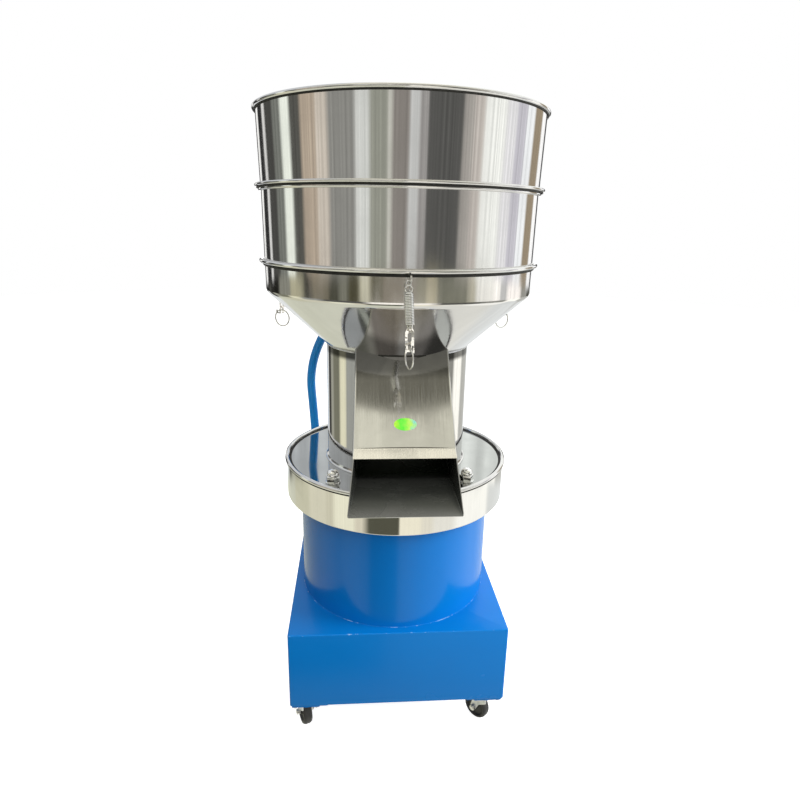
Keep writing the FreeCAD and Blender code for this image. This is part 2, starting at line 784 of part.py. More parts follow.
# Sieve ring: wall with a rolled rim at each end, mesh stretched on a hoop
foot_bead_at = "(sieve_foot_rim - sieve_foot_bead / 2)"
head_bead_at = "(sieve_head_rim - sieve_head_bead / 2)"
sieve = turned("sieve_ring", [[
    ("sieve_low_radius - steel_sheet", "sieve_flange_low"), (foot_bead_at, "sieve_flange_low"),
    (foot_bead_at, "sieve_flange_top"), ("sieve_low_radius", "sieve_flange_top"),
    ("sieve_top_radius", "sieve_head"), ("sieve_top_radius - steel_sheet", "sieve_head"),
    ("sieve_low_radius - steel_sheet", "sieve_flange_top")]],
    [(foot_bead_at, "sieve_foot", "sieve_foot_bead / 2"),
     (head_bead_at, "sieve_head", "sieve_head_bead / 2")])
keep(sieve, "sieve_ring")
hoop_out = "(sieve_low_radius - steel_sheet)"
hoop = turned("mesh_hoop", [[
    (hoop_out + " - hoop_wide", "mesh_height - hoop_tall"), (hoop_out, "mesh_height - hoop_tall"),
    (hoop_out, "mesh_height"), (hoop_out + " - hoop_wide", "mesh_height")]])
keep(hoop, "mesh_hoop")
mesh_bars = new_body("mesh_bars")
mesh_cells = 12
for role in ("XZ_Plane", "YZ_Plane"):
    grid = new_sketch(mesh_bars, "Grid", role)
    for index in range(1, mesh_cells):
        middle = "%s * %g" % (hoop_out, 2 * index / mesh_cells - 1)
        add_outline(grid, [(middle + " - mesh_bar / 2", "mesh_height"),
                           (middle + " + mesh_bar / 2", "mesh_height"),
                           (middle + " + mesh_bar / 2", "mesh_height + mesh_thick"),
                           (middle + " - mesh_bar / 2", "mesh_height + mesh_thick")])
    pad(mesh_bars, grid, "2 * sieve_low_radius", midplane=True)
mesh_disc = turned("mesh_disc", [[
    ("0", "mesh_height"), (hoop_out, "mesh_height"), (hoop_out, "mesh_height + mesh_thick"),
    ("0", "mesh_height + mesh_thick")]])
mesh_edge = turned("mesh_edge", [[
    (hoop_out + " - hoop_wide", "mesh_height"), (hoop_out, "mesh_height"),
    (hoop_out, "mesh_height + mesh_thick"),
    (hoop_out + " - hoop_wide", "mesh_height + mesh_thick")]])
mesh_round = doc.addObject("Part::MultiCommon", "mesh_round")
mesh_round.Shapes = [mesh_bars, mesh_disc]
mesh = doc.addObject("Part::MultiFuse", "mesh")
mesh.Shapes = [mesh_round, mesh_edge]
mesh.Refine = True
keep(mesh, "mesh")

# Hopper ring on top, with a lip that drops inside the sieve ring
hop_in = "(hopper_low_radius - steel_sheet)"
hop_bead = "(hopper_foot_rim - hopper_foot_bead / 2)"
hopper = turned("hopper_ring", [[
    ("locator_radius - steel_sheet", "hopper_foot - locator_drop"),
    ("locator_radius", "hopper_foot - locator_drop"), ("locator_radius", "hopper_foot"),
    (hop_bead, "hopper_foot"), (hop_bead, "hopper_foot + hopper_turn"),
    ("hopper_low_radius", "hopper_foot + hopper_turn"), ("hopper_top_radius", "hopper_head"),
    ("hopper_top_radius - steel_sheet", "hopper_head"), (hop_in, "hopper_foot + hopper_turn"),
    ("locator_radius - steel_sheet", "hopper_foot + hopper_turn / 2")]],
    [(hop_bead, "hopper_foot + hopper_bead_rise", "hopper_foot_bead / 2"),
     ("hopper_rim - hopper_bead / 2", "hopper_head", "hopper_bead / 2")])
keep(hopper, "hopper_ring")

# Motor bracket, motor, bearings and the turning parts
bracket = turned("motor_bracket", [[
    ("bracket_radius - bracket_wall", "plate_low"), ("bracket_radius", "plate_low"),
    ("bracket_radius", "bracket_foot"), ("motor_radius + motor_clear", "bracket_foot"),
    ("motor_radius + motor_clear", "bracket_foot + bracket_floor"),
    ("bracket_radius - bracket_wall", "bracket_foot + bracket_floor")]])
keep(bracket, "motor_bracket")
bolts_top = "(bracket_foot - motor_flange_thick)"
bearing_top = "(motor_high - bearing_tall)"
motor = turned("motor_housing", [[
    ("shaft_radius + 3", "motor_low + bell_tall"), ("motor_radius", "motor_low + bell_tall"),
    ("motor_radius", bolts_top), ("motor_flange", bolts_top), ("motor_flange", "bracket_foot"),
    ("motor_radius", "bracket_foot"), ("motor_radius", "motor_high - bell_tall"),
    ("shaft_radius + 3", "motor_high - bell_tall")]])
keep(motor, "motor_housing")
bell = turned("bell_low", [[
    ("bearing_radius", "motor_low"), ("motor_radius - bell_slope", "motor_low"),
    ("motor_radius", "motor_low + bell_slope"), ("motor_radius", "motor_low + bell_tall"),
    ("bearing_radius", "motor_low + bell_tall")]])
keep(bell, "motor_bell_low")
bell = turned("bell_high", [[
    ("bearing_radius", "motor_high"), ("motor_radius - bell_slope", "motor_high"),
    ("motor_radius", "motor_high - bell_slope"), ("motor_radius", "motor_high - bell_tall"),
    ("bearing_radius", "motor_high - bell_tall")]])
keep(bell, "motor_bell_high")
bearing = turned("bearings", [[
    ("shaft_radius + run_clear", low), ("bearing_radius", low), ("bearing_radius", high),
    ("shaft_radius + run_clear", high)]
    for low, high in (("motor_low", "motor_low + bearing_tall"), (bearing_top, "motor_high"))])
keep(bearing, "motor_bearings")
bolts = new_body("motor_bolts")
heads = new_sketch(bolts, "Heads", "XY_Plane", bolts_top + " - bolt_head_tall")
for a, b in (("bolt_circle", "0"), ("-bolt_circle", "0"), ("0", "bolt_circle"),
             ("0", "-bolt_circle")):
    add_circle(heads, a, b, "bolt_head")
pad(bolts, heads, "bolt_head_tall")
keep(bolts, "motor_bolts")

weight_low = "(motor_low - weight_gap - weight_tall)"
weight_high = "(motor_high + weight_gap)"
shaft_low = weight_low + " - shaft_low_end"
shaft_high = weight_high + " + weight_tall + shaft_high_end"
shaft = turned("motor_shaft", [[
    ("0", shaft_low), ("shaft_radius - shaft_slope", shaft_low),
    ("shaft_radius", shaft_low + " + shaft_slope"),
    ("shaft_radius", shaft_high + " - shaft_slope"),
    ("shaft_radius - shaft_slope", shaft_high), ("0", shaft_high)]])
keep(shaft, "motor_shaft")


def eccentric(label, height, side):
    """Fan-shaped weight clamped on the shaft."""
    body = new_body(label)
    hub = new_sketch(body, "Hub", "XY_Plane", height)
    add_circle(hub, "0", "0", "weight_hub")
    pad(body, hub, "weight_tall")
    fan = new_sketch(body, "Fan", "XY_Plane", height)
    wide = "weight_radius * cos(30)"
    half_wide = "weight_radius / 2"
    add_outline(fan, [("0", side + "weight_root"), (wide, side + "weight_hub"),
                      (wide, side + half_wide), (half_wide, side + wide),
                      ("0", side + "weight_radius"), ("-" + half_wide, side + wide),
                      ("-" + wide, side + half_wide), ("-" + wide, side + "weight_hub")])
    pad(body, fan, "weight_tall")
    hole = new_sketch(body, "Bore", "XY_Plane", height)
    add_circle(hole, "0", "0", "shaft_radius")
    pocket(body, hole, "weight_tall", reverse=True)
    return keep(body, label)


eccentric("weight_high", weight_high, "")
eccentric("weight_low", weight_low, "-")

# Spring clamps hung from lugs on the collar; the front one is drawn, the others turned
clamp_y = "-clamp_reach"


def set_side(one, label, sign):
    """Copy turned about the machine's axis to a side clamp."""
    copy = doc.addObject("Part::Compound", label)
    copy.Links = [one]
    copy.Placement.Rotation = FreeCAD.Rotation(FreeCAD.Vector(0, 0, 1), 0)
    copy.setExpression(".Placement.Rotation.Angle", sign + full("clamp_side_angle"))
    return copy


def three_of(one, label, front_one=None):
    """Front piece and its two side copies as three sub-parts."""
    front = doc.addObject("Part::Compound", label + "_front")
    front.Links = [front_one or one]
    keep(front, label + "_front")
    keep(set_side(one, label + "_left", "-"), label + "_left")
    keep(set_side(one, label + "_right", ""), label + "_right")


lug = new_body("lug_one")
side = new_sketch(lug, "Side", "YZ_Plane")
lug_in = "-collar_radius + lug_thick / 2"
add_outline(side, [(lug_in, "clamp_pivot - lug_root"), (lug_in, "clamp_pivot - lug_hole"),
                   ("-clamp_reach + lug_web", "clamp_pivot + lug_web"),
                   ("-clamp_reach", "clamp_pivot + lug_web"),
                   ("-clamp_reach - lug_web", "clamp_pivot"),
                   ("-clamp_reach", "clamp_pivot - lug_web")])
pad(lug, side, "lug_thick", midplane=True)
boss = new_sketch(lug, "Boss", "YZ_Plane")
add_circle(boss, clamp_y, "clamp_pivot", "lug_round")
pad(lug, boss, "lug_thick", midplane=True)
hole = new_sketch(lug, "Hole", "YZ_Plane")
add_circle(hole, clamp_y, "clamp_pivot", "lug_hole")
pocket(lug, hole, "2 * lug_thick", midplane=True)
lug_front = doc.addObject("Part::Cut", "lug_front")
lug_front.Base = lug
lug_front.Tool = turned("collar_room", [[
    ("0", "collar_low"), ("collar_radius", "collar_low"),
    ("collar_top_radius", "collar_top"), ("0", "collar_top")]])
lugs = doc.addObject("Part::Compound", "clamp_lugs")
lugs.Links = [lug_front, set_side(lug_front, "lug_left", "-"),
              set_side(lug_front, "lug_right", "")]
keep(lugs, "clamp_lugs")

coil = new_body("clamp_coil")
eye_z = "(clamp_pivot - eye_drop - eye_mean)"
path = new_sketch(coil, "EyePath", "XZ_Plane", "clamp_reach")
add_circle(path, "0", eye_z, "eye_mean + eye_wire / 2")
add_circle(path, "0", eye_z, "eye_mean - eye_wire / 2")
pad(coil, path, "eye_wire", midplane=True)
shank = new_sketch(coil, "Shank", "XY_Plane", "coil_top - eye_wire")
add_circle(shank, "0", clamp_y, "0.65 * eye_wire")
pad(coil, shank, "coil_drop - eye_drop - 2 * eye_mean + 1.4 * eye_wire")
turns = 9
pitch = "((coil_top - coil_low) / %d)" % turns
ribs = [("0", "coil_top"), ("coil_radius - coil_cap", "coil_top")]
for i in range(turns):
    ribs.append(("coil_radius", "coil_top - (%d + 0.5) * %s" % (i, pitch)))
    ribs.append(("coil_radius - coil_groove", "coil_top - (%d + 1) * %s" % (i, pitch)))
ribs += [("coil_bore", "coil_low"), ("coil_bore", "coil_top - coil_cap"),
         ("0", "coil_top - coil_cap")]
wind = doc.addObject("PartDesign::Body", "clamp_wind")
wind.AllowCompound = True
sketch = new_sketch(wind, "Ribs", "XZ_Plane")
add_outline(sketch, ribs)
turn(wind, sketch)
place(wind, "0", clamp_y)
spring_one = doc.addObject("Part::MultiFuse", "clamp_spring")
spring_one.Shapes = [coil, wind]
three_of(spring_one, "clamp_spring")

hook = new_body("hook_one")
strip = new_sketch(hook, "Strip", "XZ_Plane", "clamp_reach - hook_thick / 2")
shoulder = "hook_top - hook_shoulder"
add_outline(strip, [("-hook_half", "hook_low"), ("hook_half", "hook_low"),
                    ("hook_half", shoulder), ("hook_half / 2", "hook_top"),
                    ("-hook_half / 2", "hook_top"), ("-hook_half", shoulder)])
pad(hook, strip, "hook_thick")
claw = new_sketch(hook, "Claw", "YZ_Plane")
claw_out = "-clamp_reach - hook_thick / 2 - claw_reach"
add_outline(claw, [(clamp_y, "hook_low"), (claw_out, "hook_low"),
                   (claw_out, "hook_low + claw_tall"),
                   (claw_out + " + hook_thick", "hook_low + claw_tall"),
                   (claw_out + " + hook_thick", "hook_low + hook_thick"),
                   (clamp_y, "hook_low + hook_thick")])
pad(hook, claw, "2 * hook_half", midplane=True)
slit = new_sketch(hook, "Slit", "XZ_Plane", "clamp_reach + hook_thick / 2")
slit_low = "hook_low - hook_thick"
slit_top = "hook_low + claw_tall + hook_thick"
add_outline(slit, [("-claw_slit / 2", slit_low), ("claw_slit / 2", slit_low),
                   ("claw_slit / 2", slit_top), ("-claw_slit / 2", slit_top)])
pocket(hook, slit, "claw_reach + hook_thick", reverse=True)
window = new_sketch(hook, "Window", "XZ_Plane", "clamp_reach")
add_slot(window, "0", "hook_top - window_drop", "window_half", "window_radius")
pocket(hook, window, "2 * hook_thick", midplane=True)
eye = new_sketch(hook, "RingHole", "XZ_Plane", "clamp_reach")
add_slot(eye, "0", "hook_low + ring_hole_rise", "ring_hole_half", "ring_hole_radius")
pocket(hook, eye, "2 * hook_thick", midplane=True)
stem = new_sketch(hook, "Stem", "XY_Plane", "hook_top - hook_thick / 2")
add_circle(stem, "0", clamp_y, "coil_bore - run_clear")
pad(hook, stem, "hook_stem")
three_of(hook, "clamp_hook")

pull = new_body("ring_one")
wire = new_sketch(pull, "Wire", "XZ_Plane")
add_circle(wire, "ring_mean", "0", "ring_wire / 2")
turn(pull, wire)
pull.Placement.Rotation = FreeCAD.Rotation(FreeCAD.Vector(0, 1, 0), 90)
place(pull, "0", clamp_y, "ring_hang - ring_mean")
twisted = doc.addObject("Part::Compound", "ring_twisted")
twisted.Links = [pull]
twisted.Placement.Rotation = FreeCAD.Rotation(FreeCAD.Vector(0, 0, 1), 1)
twisted.setExpression(".Placement.Rotation.Angle", full("ring_twist"))
place(twisted, "-clamp_reach * sin(ring_twist)", "clamp_reach * (cos(ring_twist) - 1)")
three_of(pull, "pull_ring", twisted)

# Casters: fork and wheel drawn trailing towards +Y, then swung round their own axes
swings = {"front_left": (-1, -1, 20), "front_right": (1, -1, 40),
          "rear_left": (-1, 1, -35), "rear_right": (1, 1, 12)}
fork_top = "(%s - race_tall)" % race
axle_z = "wheel_radius"
fork = new_body("fork_one")
crown = new_sketch(fork, "Crown", "XY_Plane", fork_top + " - fork_sheet - slide_clear")
add_circle(crown, "0", "0", "race_radius - race_band")
pad(fork, crown, "fork_sheet")
cheek_top = fork_top + " - slide_clear"
cheek_front = "-fork_half + race_slope / 2"
nose_low = axle_z + " - fork_nose"
for sign in ("", "-"):
    cheek_at = sign + "(fork_gap / 2 + fork_sheet / 2)"
    leg = new_sketch(fork, "Leg", "YZ_Plane", cheek_at)
    add_outline(leg, [(cheek_front, cheek_top), ("fork_half", cheek_top),
                      ("caster_trail + 2 * axle_radius", axle_z + " + axle_radius"),
                      ("caster_trail + 1.5 * axle_radius", nose_low),
                      ("caster_trail - 1.5 * axle_radius", nose_low),
                      (cheek_front, cheek_top + " - fork_skirt")])
    pad(fork, leg, "fork_sheet", midplane=True)
    hole = new_sketch(fork, "AxleHole", "YZ_Plane", cheek_at)
    add_circle(hole, "caster_trail", axle_z, "axle_radius")
    pocket(fork, hole, "3 * fork_sheet", midplane=True)

axle = new_body("axle_one")
pin_sketch = new_sketch(axle, "Pin", "YZ_Plane")
add_circle(pin_sketch, "caster_trail", axle_z, "axle_radius")
pad(axle, pin_sketch, "fork_gap + 2 * fork_sheet + 2 * axle_head_tall + 2", midplane=True)
for sign in ("", "-"):
    head_at = sign + "(fork_gap / 2 + fork_sheet + axle_head_tall / 2)"
    head = new_sketch(axle, "Head", "YZ_Plane", head_at)
    add_circle(head, "caster_trail", axle_z, "axle_head")
    pad(axle, head, "axle_head_tall", midplane=True)

wheel = new_body("wheel_one")
tread = new_sketch(wheel, "Tread", "XZ_Plane")
bore_x = "axle_radius + run_clear"
hub_end = "(fork_gap / 2 - wheel_side_gap)"
tyre_end = "wheel_wide / 2"
slope_in = "wheel_radius - wheel_slope"
add_outline(tread, [(bore_x, "-" + hub_end), ("wheel_hub", "-" + hub_end),
                    ("wheel_hub", "-wheel_web"), ("wheel_face", "-wheel_web"),
                    ("wheel_face", "-" + tyre_end), (slope_in, "-" + tyre_end),
                    ("wheel_radius", "-%s + wheel_crown" % tyre_end),
                    ("wheel_radius", tyre_end + " - wheel_crown"), (slope_in, tyre_end),
                    ("wheel_face", tyre_end), ("wheel_face", "wheel_web"),
                    ("wheel_hub", "wheel_web"), ("wheel_hub", hub_end), (bore_x, hub_end)])
turn(wheel, tread)
wheel.Placement.Rotation = FreeCAD.Rotation(FreeCAD.Vector(0, 1, 0), 90)
place(wheel, "0", "caster_trail", axle_z)

for corner_name, (side_x, side_y, swing) in swings.items():
    for one, label in ((fork, "caster_fork"), (axle, "caster_axle"), (wheel, "caster_wheel")):
        copy = doc.addObject("Part::Compound", label + "_" + corner_name)
        copy.Links = [one]
        copy.Placement.Rotation = FreeCAD.Rotation(FreeCAD.Vector(0, 0, 1), swing)
        place(copy, "%d * %s" % (side_x, caster_at), "%d * %s" % (side_y, caster_at))
        keep(copy, label + "_" + corner_name)

# Hose from the cabinet to the cone, all in one upright plane through the machine's axis
cone_slope = size("(collar_low - neck_top) / (collar_radius - neck_radius)")
cone_len = math.hypot(1, cone_slope)
normal_out = cone_slope / cone_len
normal_down = -1 / cone_len
root_r = size("hose_cone_radius")
root_z = size("neck_top") + (root_r - size("neck_radius")) * cone_slope
reach = (size("hose_bend_radius") - root_r) / normal_out
away_x = -math.sin(math.radians(size("hose_azimuth")))
away_y = math.cos(math.radians(size("hose_azimuth")))


def in_plane(radius, height):
    return FreeCAD.Vector(away_x * radius, away_y * radius, height)


def off_cone(distance):
    return in_plane(root_r + normal_out * distance, root_z + normal_down * distance)


route = [in_plane(size("hose_foot_radius"), size("hose_start")),
         in_plane(size("hose_foot_radius"), size("hose_start + hose_straight")),
         in_plane(size("hose_foot_radius + hose_lean"), size("hose_start + hose_lean_rise")),
         off_cone(reach), off_cone(size("hose_end_gap"))]


def rounded(points, label):
    """Wire of straight runs joined by tangent arcs; prints each arc's radius."""
    edges = []
    start = points[0]
    for before, knee, after in zip(points, points[1:], points[2:]):
        to_start = (before - knee).normalize()
        to_end = (after - knee).normalize()
        half_turn = (math.pi - to_start.getAngle(to_end)) / 2
        cut = 0.45 * min(knee.distanceToPoint(before), knee.distanceToPoint(after))
        radius = cut / math.tan(half_turn)
        first = knee + to_start * cut
        last = knee + to_end * cut
        middle = (to_start + to_end).normalize()
        peak = knee + middle * (radius / math.cos(half_turn) - radius)
        edges.append(Part.makeLine(start, first))
        edges.append(Part.Arc(first, peak, last).toShape())
        start = last
        print(label, "bend radius %.0f mm" % radius)
    edges.append(Part.makeLine(start, points[-1]))
    return Part.Wire(edges)


spine = rounded(route, "hose")
lead = (route[1] - route[0]).normalize()
swept = []
for word in ("hose_radius", "hose_bore"):
    ring = Part.Wire(Part.makeCircle(size(word), route[0], lead))
    swept.append(spine.makePipeShell([ring], True, False))
hose = doc.addObject("Part::Feature", "hose")
hose.Shape = swept[0].cut(swept[1])
keep(hose, "hose")
print("hose length %.0f mm" % spine.Length)

stub_in = "hose_bore - spigot_wall"
stub_out = "hose_bore - hose_grip"
spigot = turned("spigot_one", [[
    (stub_in, "0"), ("spigot_flange", "0"), ("spigot_flange", "spigot_flange_thick"),
    ("hose_radius - band_thick", "spigot_flange_thick"),
    ("hose_radius - band_thick", "hose_end_gap"), (stub_out, "hose_end_gap"),
    (stub_out, "spigot_tall"), (stub_in, "spigot_tall")]])
band_in = "hose_radius + hose_grip"
band_out = "hose_radius + band_thick"
band = turned("band_one", [[
    (band_in, "0"), (band_out, "0"), (band_out, "band_wide"), (band_in, "band_wide")]])
screw = new_sketch(band, "Screw", "XZ_Plane", "hose_radius + band_thick / 2")
add_outline(screw, [("-band_screw", "band_thick / 2"), ("band_screw", "band_thick / 2"),
                    ("band_screw", "band_wide - band_thick / 2"),
                    ("-band_screw", "band_wide - band_thick / 2")])
pad(band, screw, "band_screw")


def laid(one, label, at, toward):
    """Copy with its own Z turned to a direction and moved to a point."""
    copy = doc.addObject("Part::Compound", label)
    copy.Links = [one]
    turn_to = FreeCAD.Rotation(FreeCAD.Vector(0, 0, 1), toward)
    copy.Placement = FreeCAD.Placement(at, turn_to)
    return copy


up = FreeCAD.Vector(0, 0, 1)
outward = FreeCAD.Vector(away_x * normal_out, away_y * normal_out, normal_down)
foot = in_plane(size("hose_foot_radius"), size("cabinet_top"))
keep(laid(spigot, "spigot_low", foot, up), "hose_spigot_low")
keep(laid(band, "band_low", route[0] + up * size("band_rise"), up), "hose_clamp_low")
spigot_high = doc.addObject("Part::Cut", "spigot_high")
spigot_high.Base = laid(spigot, "spigot_laid", off_cone(-size("steel_sheet") / 2), outward)
spigot_high.Tool = room
keep(spigot_high, "hose_spigot_high")
band_at = off_cone(size("hose_end_gap + band_rise"))
keep(laid(band, "band_high", band_at, outward), "hose_clamp_high")

# Switch box and knob on the back of the cabinet
switch = new_body("switch_box")
case = new_sketch(switch, "Case", "XZ_Plane", "-cabinet_side / 2")
add_outline(case, [("switch_x - switch_wide / 2", "switch_z - switch_tall / 2"),
                   ("switch_x + switch_wide / 2", "switch_z - switch_tall / 2"),
                   ("switch_x + switch_wide / 2", "switch_z + switch_tall / 2"),
                   ("switch_x - switch_wide / 2", "switch_z + switch_tall / 2")])
pad(switch, case, "switch_deep", reverse=True)
doc.recompute()
case_block = switch.Tip
front_edges = []
for index, edge in enumerate(case_block.Shape.Edges, 1):
    if edge.BoundBox.YMin > size("cabinet_side / 2 + switch_deep") - 0.1:
        front_edges.append("Edge%d" % index)
soften = switch.newObject("PartDesign::Fillet", "Rim")
soften.Base = (case_block, front_edges)
soften.setExpression("Radius", full("switch_round"))
gland = new_sketch(switch, "Gland", "XY_Plane", "switch_z - switch_tall / 2")
add_circle(gland, "switch_x", "cabinet_side / 2 + switch_deep / 2", "gland_radius")
pad(switch, gland, "gland_tall", reverse=True)
keep(switch, "switch_box")

knob = new_body("switch_knob")
face = "(-cabinet_side / 2 - switch_deep - slide_clear)"
dial = new_sketch(knob, "Dial", "XZ_Plane", face)
add_circle(dial, "switch_x", "switch_z", "knob_radius")
pad(knob, dial, "dial_tall", reverse=True)
grip = new_sketch(knob, "Grip", "XZ_Plane", face + " - dial_tall / 2")
grip_low = "switch_z - knob_radius + grip_inset"
grip_top = "switch_z + knob_radius - grip_inset"
add_outline(grip, [("switch_x - grip_half", grip_low), ("switch_x + grip_half", grip_low),
                   ("switch_x + grip_half", grip_top), ("switch_x - grip_half", grip_top)])
pad(knob, grip, "knob_tall - dial_tall / 2", reverse=True)
keep(knob, "switch_knob")

doc.recompute()
faults = []
for item in doc.Objects:
    if "Invalid" in item.State or "Error" in item.State:
        faults.append("%s %s" % (item.Label, item.State))
for item in nodes:
    shape = item.Shape
    if shape.isNull() or not shape.isValid() or shape.Volume <= 0:
        faults.append("%s has no sound shape" % item.Label)
if faults:
    raise RuntimeError("; ".join(faults))
for item in nodes:
    item.Shape.exportStep("parts/%s.step" % item.Label)
    box = item.Shape.BoundBox
    print("%-20s %2d solids %9.0f mm3  x %6.1f %6.1f  y %6.1f %6.1f  z %6.1f %6.1f" % (
        item.Label, len(item.Shape.Solids), item.Shape.Volume, box.XMin, box.XMax,
        box.YMin, box.YMax, box.ZMin, box.ZMax))
print(len(nodes), "sub-parts")
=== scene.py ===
import math
import bmesh
import bpy
from mathutils import Matrix, Vector


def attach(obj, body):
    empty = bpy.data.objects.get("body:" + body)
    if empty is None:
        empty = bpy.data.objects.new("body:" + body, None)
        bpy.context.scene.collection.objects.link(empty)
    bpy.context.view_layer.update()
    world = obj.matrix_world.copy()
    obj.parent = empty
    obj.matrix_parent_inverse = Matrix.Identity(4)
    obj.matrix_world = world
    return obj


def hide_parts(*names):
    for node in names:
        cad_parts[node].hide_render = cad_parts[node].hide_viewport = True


# Round vibrating sieve: polished hopper and mesh ring on a funnel, front chute,
# sprung motor drum on a blue wheeled cabinet. Metres, front is -Y.

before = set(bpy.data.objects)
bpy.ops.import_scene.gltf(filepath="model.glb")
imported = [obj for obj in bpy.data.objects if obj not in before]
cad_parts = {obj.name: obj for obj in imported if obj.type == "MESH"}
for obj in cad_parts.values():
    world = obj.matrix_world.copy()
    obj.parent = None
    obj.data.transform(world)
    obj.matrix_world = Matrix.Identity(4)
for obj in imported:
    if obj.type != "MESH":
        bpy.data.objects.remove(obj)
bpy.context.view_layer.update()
scene = bpy.context.scene
scene.view_settings.view_transform = "Standard"
print("frame loaded")


# camera, as the photograph stands: place, downward tilt, aim to the right, roll
shot = {"place": (-0.09736, -1.3542, 1.13756), "down": 16.603, "aim": 4.509, "roll": 1.199,
        "film": 36, "lens": 27.225, "far": 60}


def setCamera():
    down, aim, roll = (math.radians(shot[word]) for word in ("down", "aim", "roll"))
    ahead = Vector((math.sin(aim) * math.cos(down), math.cos(aim) * math.cos(down), -math.sin(down)))
    right = Vector((math.cos(aim), -math.sin(aim), 0))
    below = ahead.cross(right)
    sideways = right * math.cos(roll) - below * math.sin(roll)
    lower = below * math.cos(roll) + right * math.sin(roll)
    camera = bpy.data.objects.new("camera", bpy.data.cameras.new("camera"))
    scene.collection.objects.link(camera)
    facing = Matrix((sideways, -lower, -ahead)).transposed().to_4x4()
    camera.matrix_world = Matrix.Translation(shot["place"]) @ facing
    camera.data.sensor_width = shot["film"]
    camera.data.lens = shot["lens"]
    camera.data.clip_end = shot["far"]
    scene.camera = camera


setCamera()
print("camera set")


def placeMesh(name, bm):  # a finished bmesh becomes an object of the scene
    mesh = bpy.data.meshes.new(name)
    bm.to_mesh(mesh)
    bm.free()
    thing = bpy.data.objects.new(name, mesh)
    scene.collection.objects.link(thing)
    return thing


# node helpers
def addNode(tree, kind, sockets=None, **fields):
    node = tree.nodes.new(kind)
    for field, value in fields.items():
        setattr(node, field, value)
    for socket, value in (sockets or {}).items():
        node.inputs[socket].default_value = value
    return node


def plug(tree, source, node, socket):
    tree.links.new(source, node.inputs[socket])


def newMaterial(name, sockets):
    material = bpy.data.materials.new(name)
    material.use_nodes = True
    tree = material.node_tree
    shader = tree.nodes["Principled BSDF"]
    for socket, value in sockets.items():
        shader.inputs[socket].default_value = value
    return material, tree, shader


def axesOf(tree, space="Object"):  # x, y and z of the shaded point
    where = addNode(tree, "ShaderNodeTexCoord")
    split = addNode(tree, "ShaderNodeSeparateXYZ")
    plug(tree, where.outputs[space], split, "Vector")
    return split.outputs


def toneRamp(tree, factor, stops):  # stops are place and tone
    node = addNode(tree, "ShaderNodeValToRGB")
    plug(tree, factor, node, "Fac")
    ramp = node.color_ramp.elements
    ramp.remove(ramp[-1])
    for index, (place, tone) in enumerate(stops):
        stop = ramp.new(place) if index else ramp[0]
        stop.position = place
        stop.color = (*tone, 1.0)
    return node.outputs[0]


def cloud(tree, stretch, scale=1.0, detail=4.0, rough=0.5, warp=0.0):  # noise on object coordinates
    where = addNode(tree, "ShaderNodeTexCoord")
    mapping = addNode(tree, "ShaderNodeMapping", {"Scale": stretch})
    noise = addNode(tree, "ShaderNodeTexNoise", {
        "Scale": scale, "Detail": detail, "Roughness": rough, "Distortion": warp})
    plug(tree, where.outputs["Object"], mapping, "Vector")
    plug(tree, mapping.outputs["Vector"], noise, "Vector")
    return noise.outputs[0]


def spread(tree, source, fromLow, fromHigh, toLow, toHigh, smooth=False):
    node = addNode(tree, "ShaderNodeMapRange", {
        "From Min": fromLow, "From Max": fromHigh, "To Min": toLow, "To Max": toHigh})
    if smooth:
        node.interpolation_type = "SMOOTHSTEP"
    plug(tree, source, node, "Value")
    return node.outputs[0]


def sums(tree, operation, first, second=0.0):
    node = addNode(tree, "ShaderNodeMath", operation=operation)
    for index, value in enumerate((first, second)):
        if isinstance(value, (int, float)):
            node.inputs[index].default_value = value
        else:
            tree.links.new(value, node.inputs[index])
    return node.outputs[0]


def blendTone(tree, factor, first, second):
    node = addNode(tree, "ShaderNodeMix", data_type="RGBA")
    for index, value in ((0, factor), (6, first), (7, second)):
        if isinstance(value, tuple):
            node.inputs[index].default_value = (*value, 1.0)
        elif isinstance(value, (int, float)):
            node.inputs[index].default_value = value
        else:
            tree.links.new(value, node.inputs[index])
    return node.outputs[2]


def relief(tree, height, strength, depth, under=None):
    node = addNode(tree, "ShaderNodeBump", {"Strength": strength, "Distance": depth})
    plug(tree, height, node, "Height")
    if under is not None:
        plug(tree, under, node, "Normal")
    return node.outputs[0]


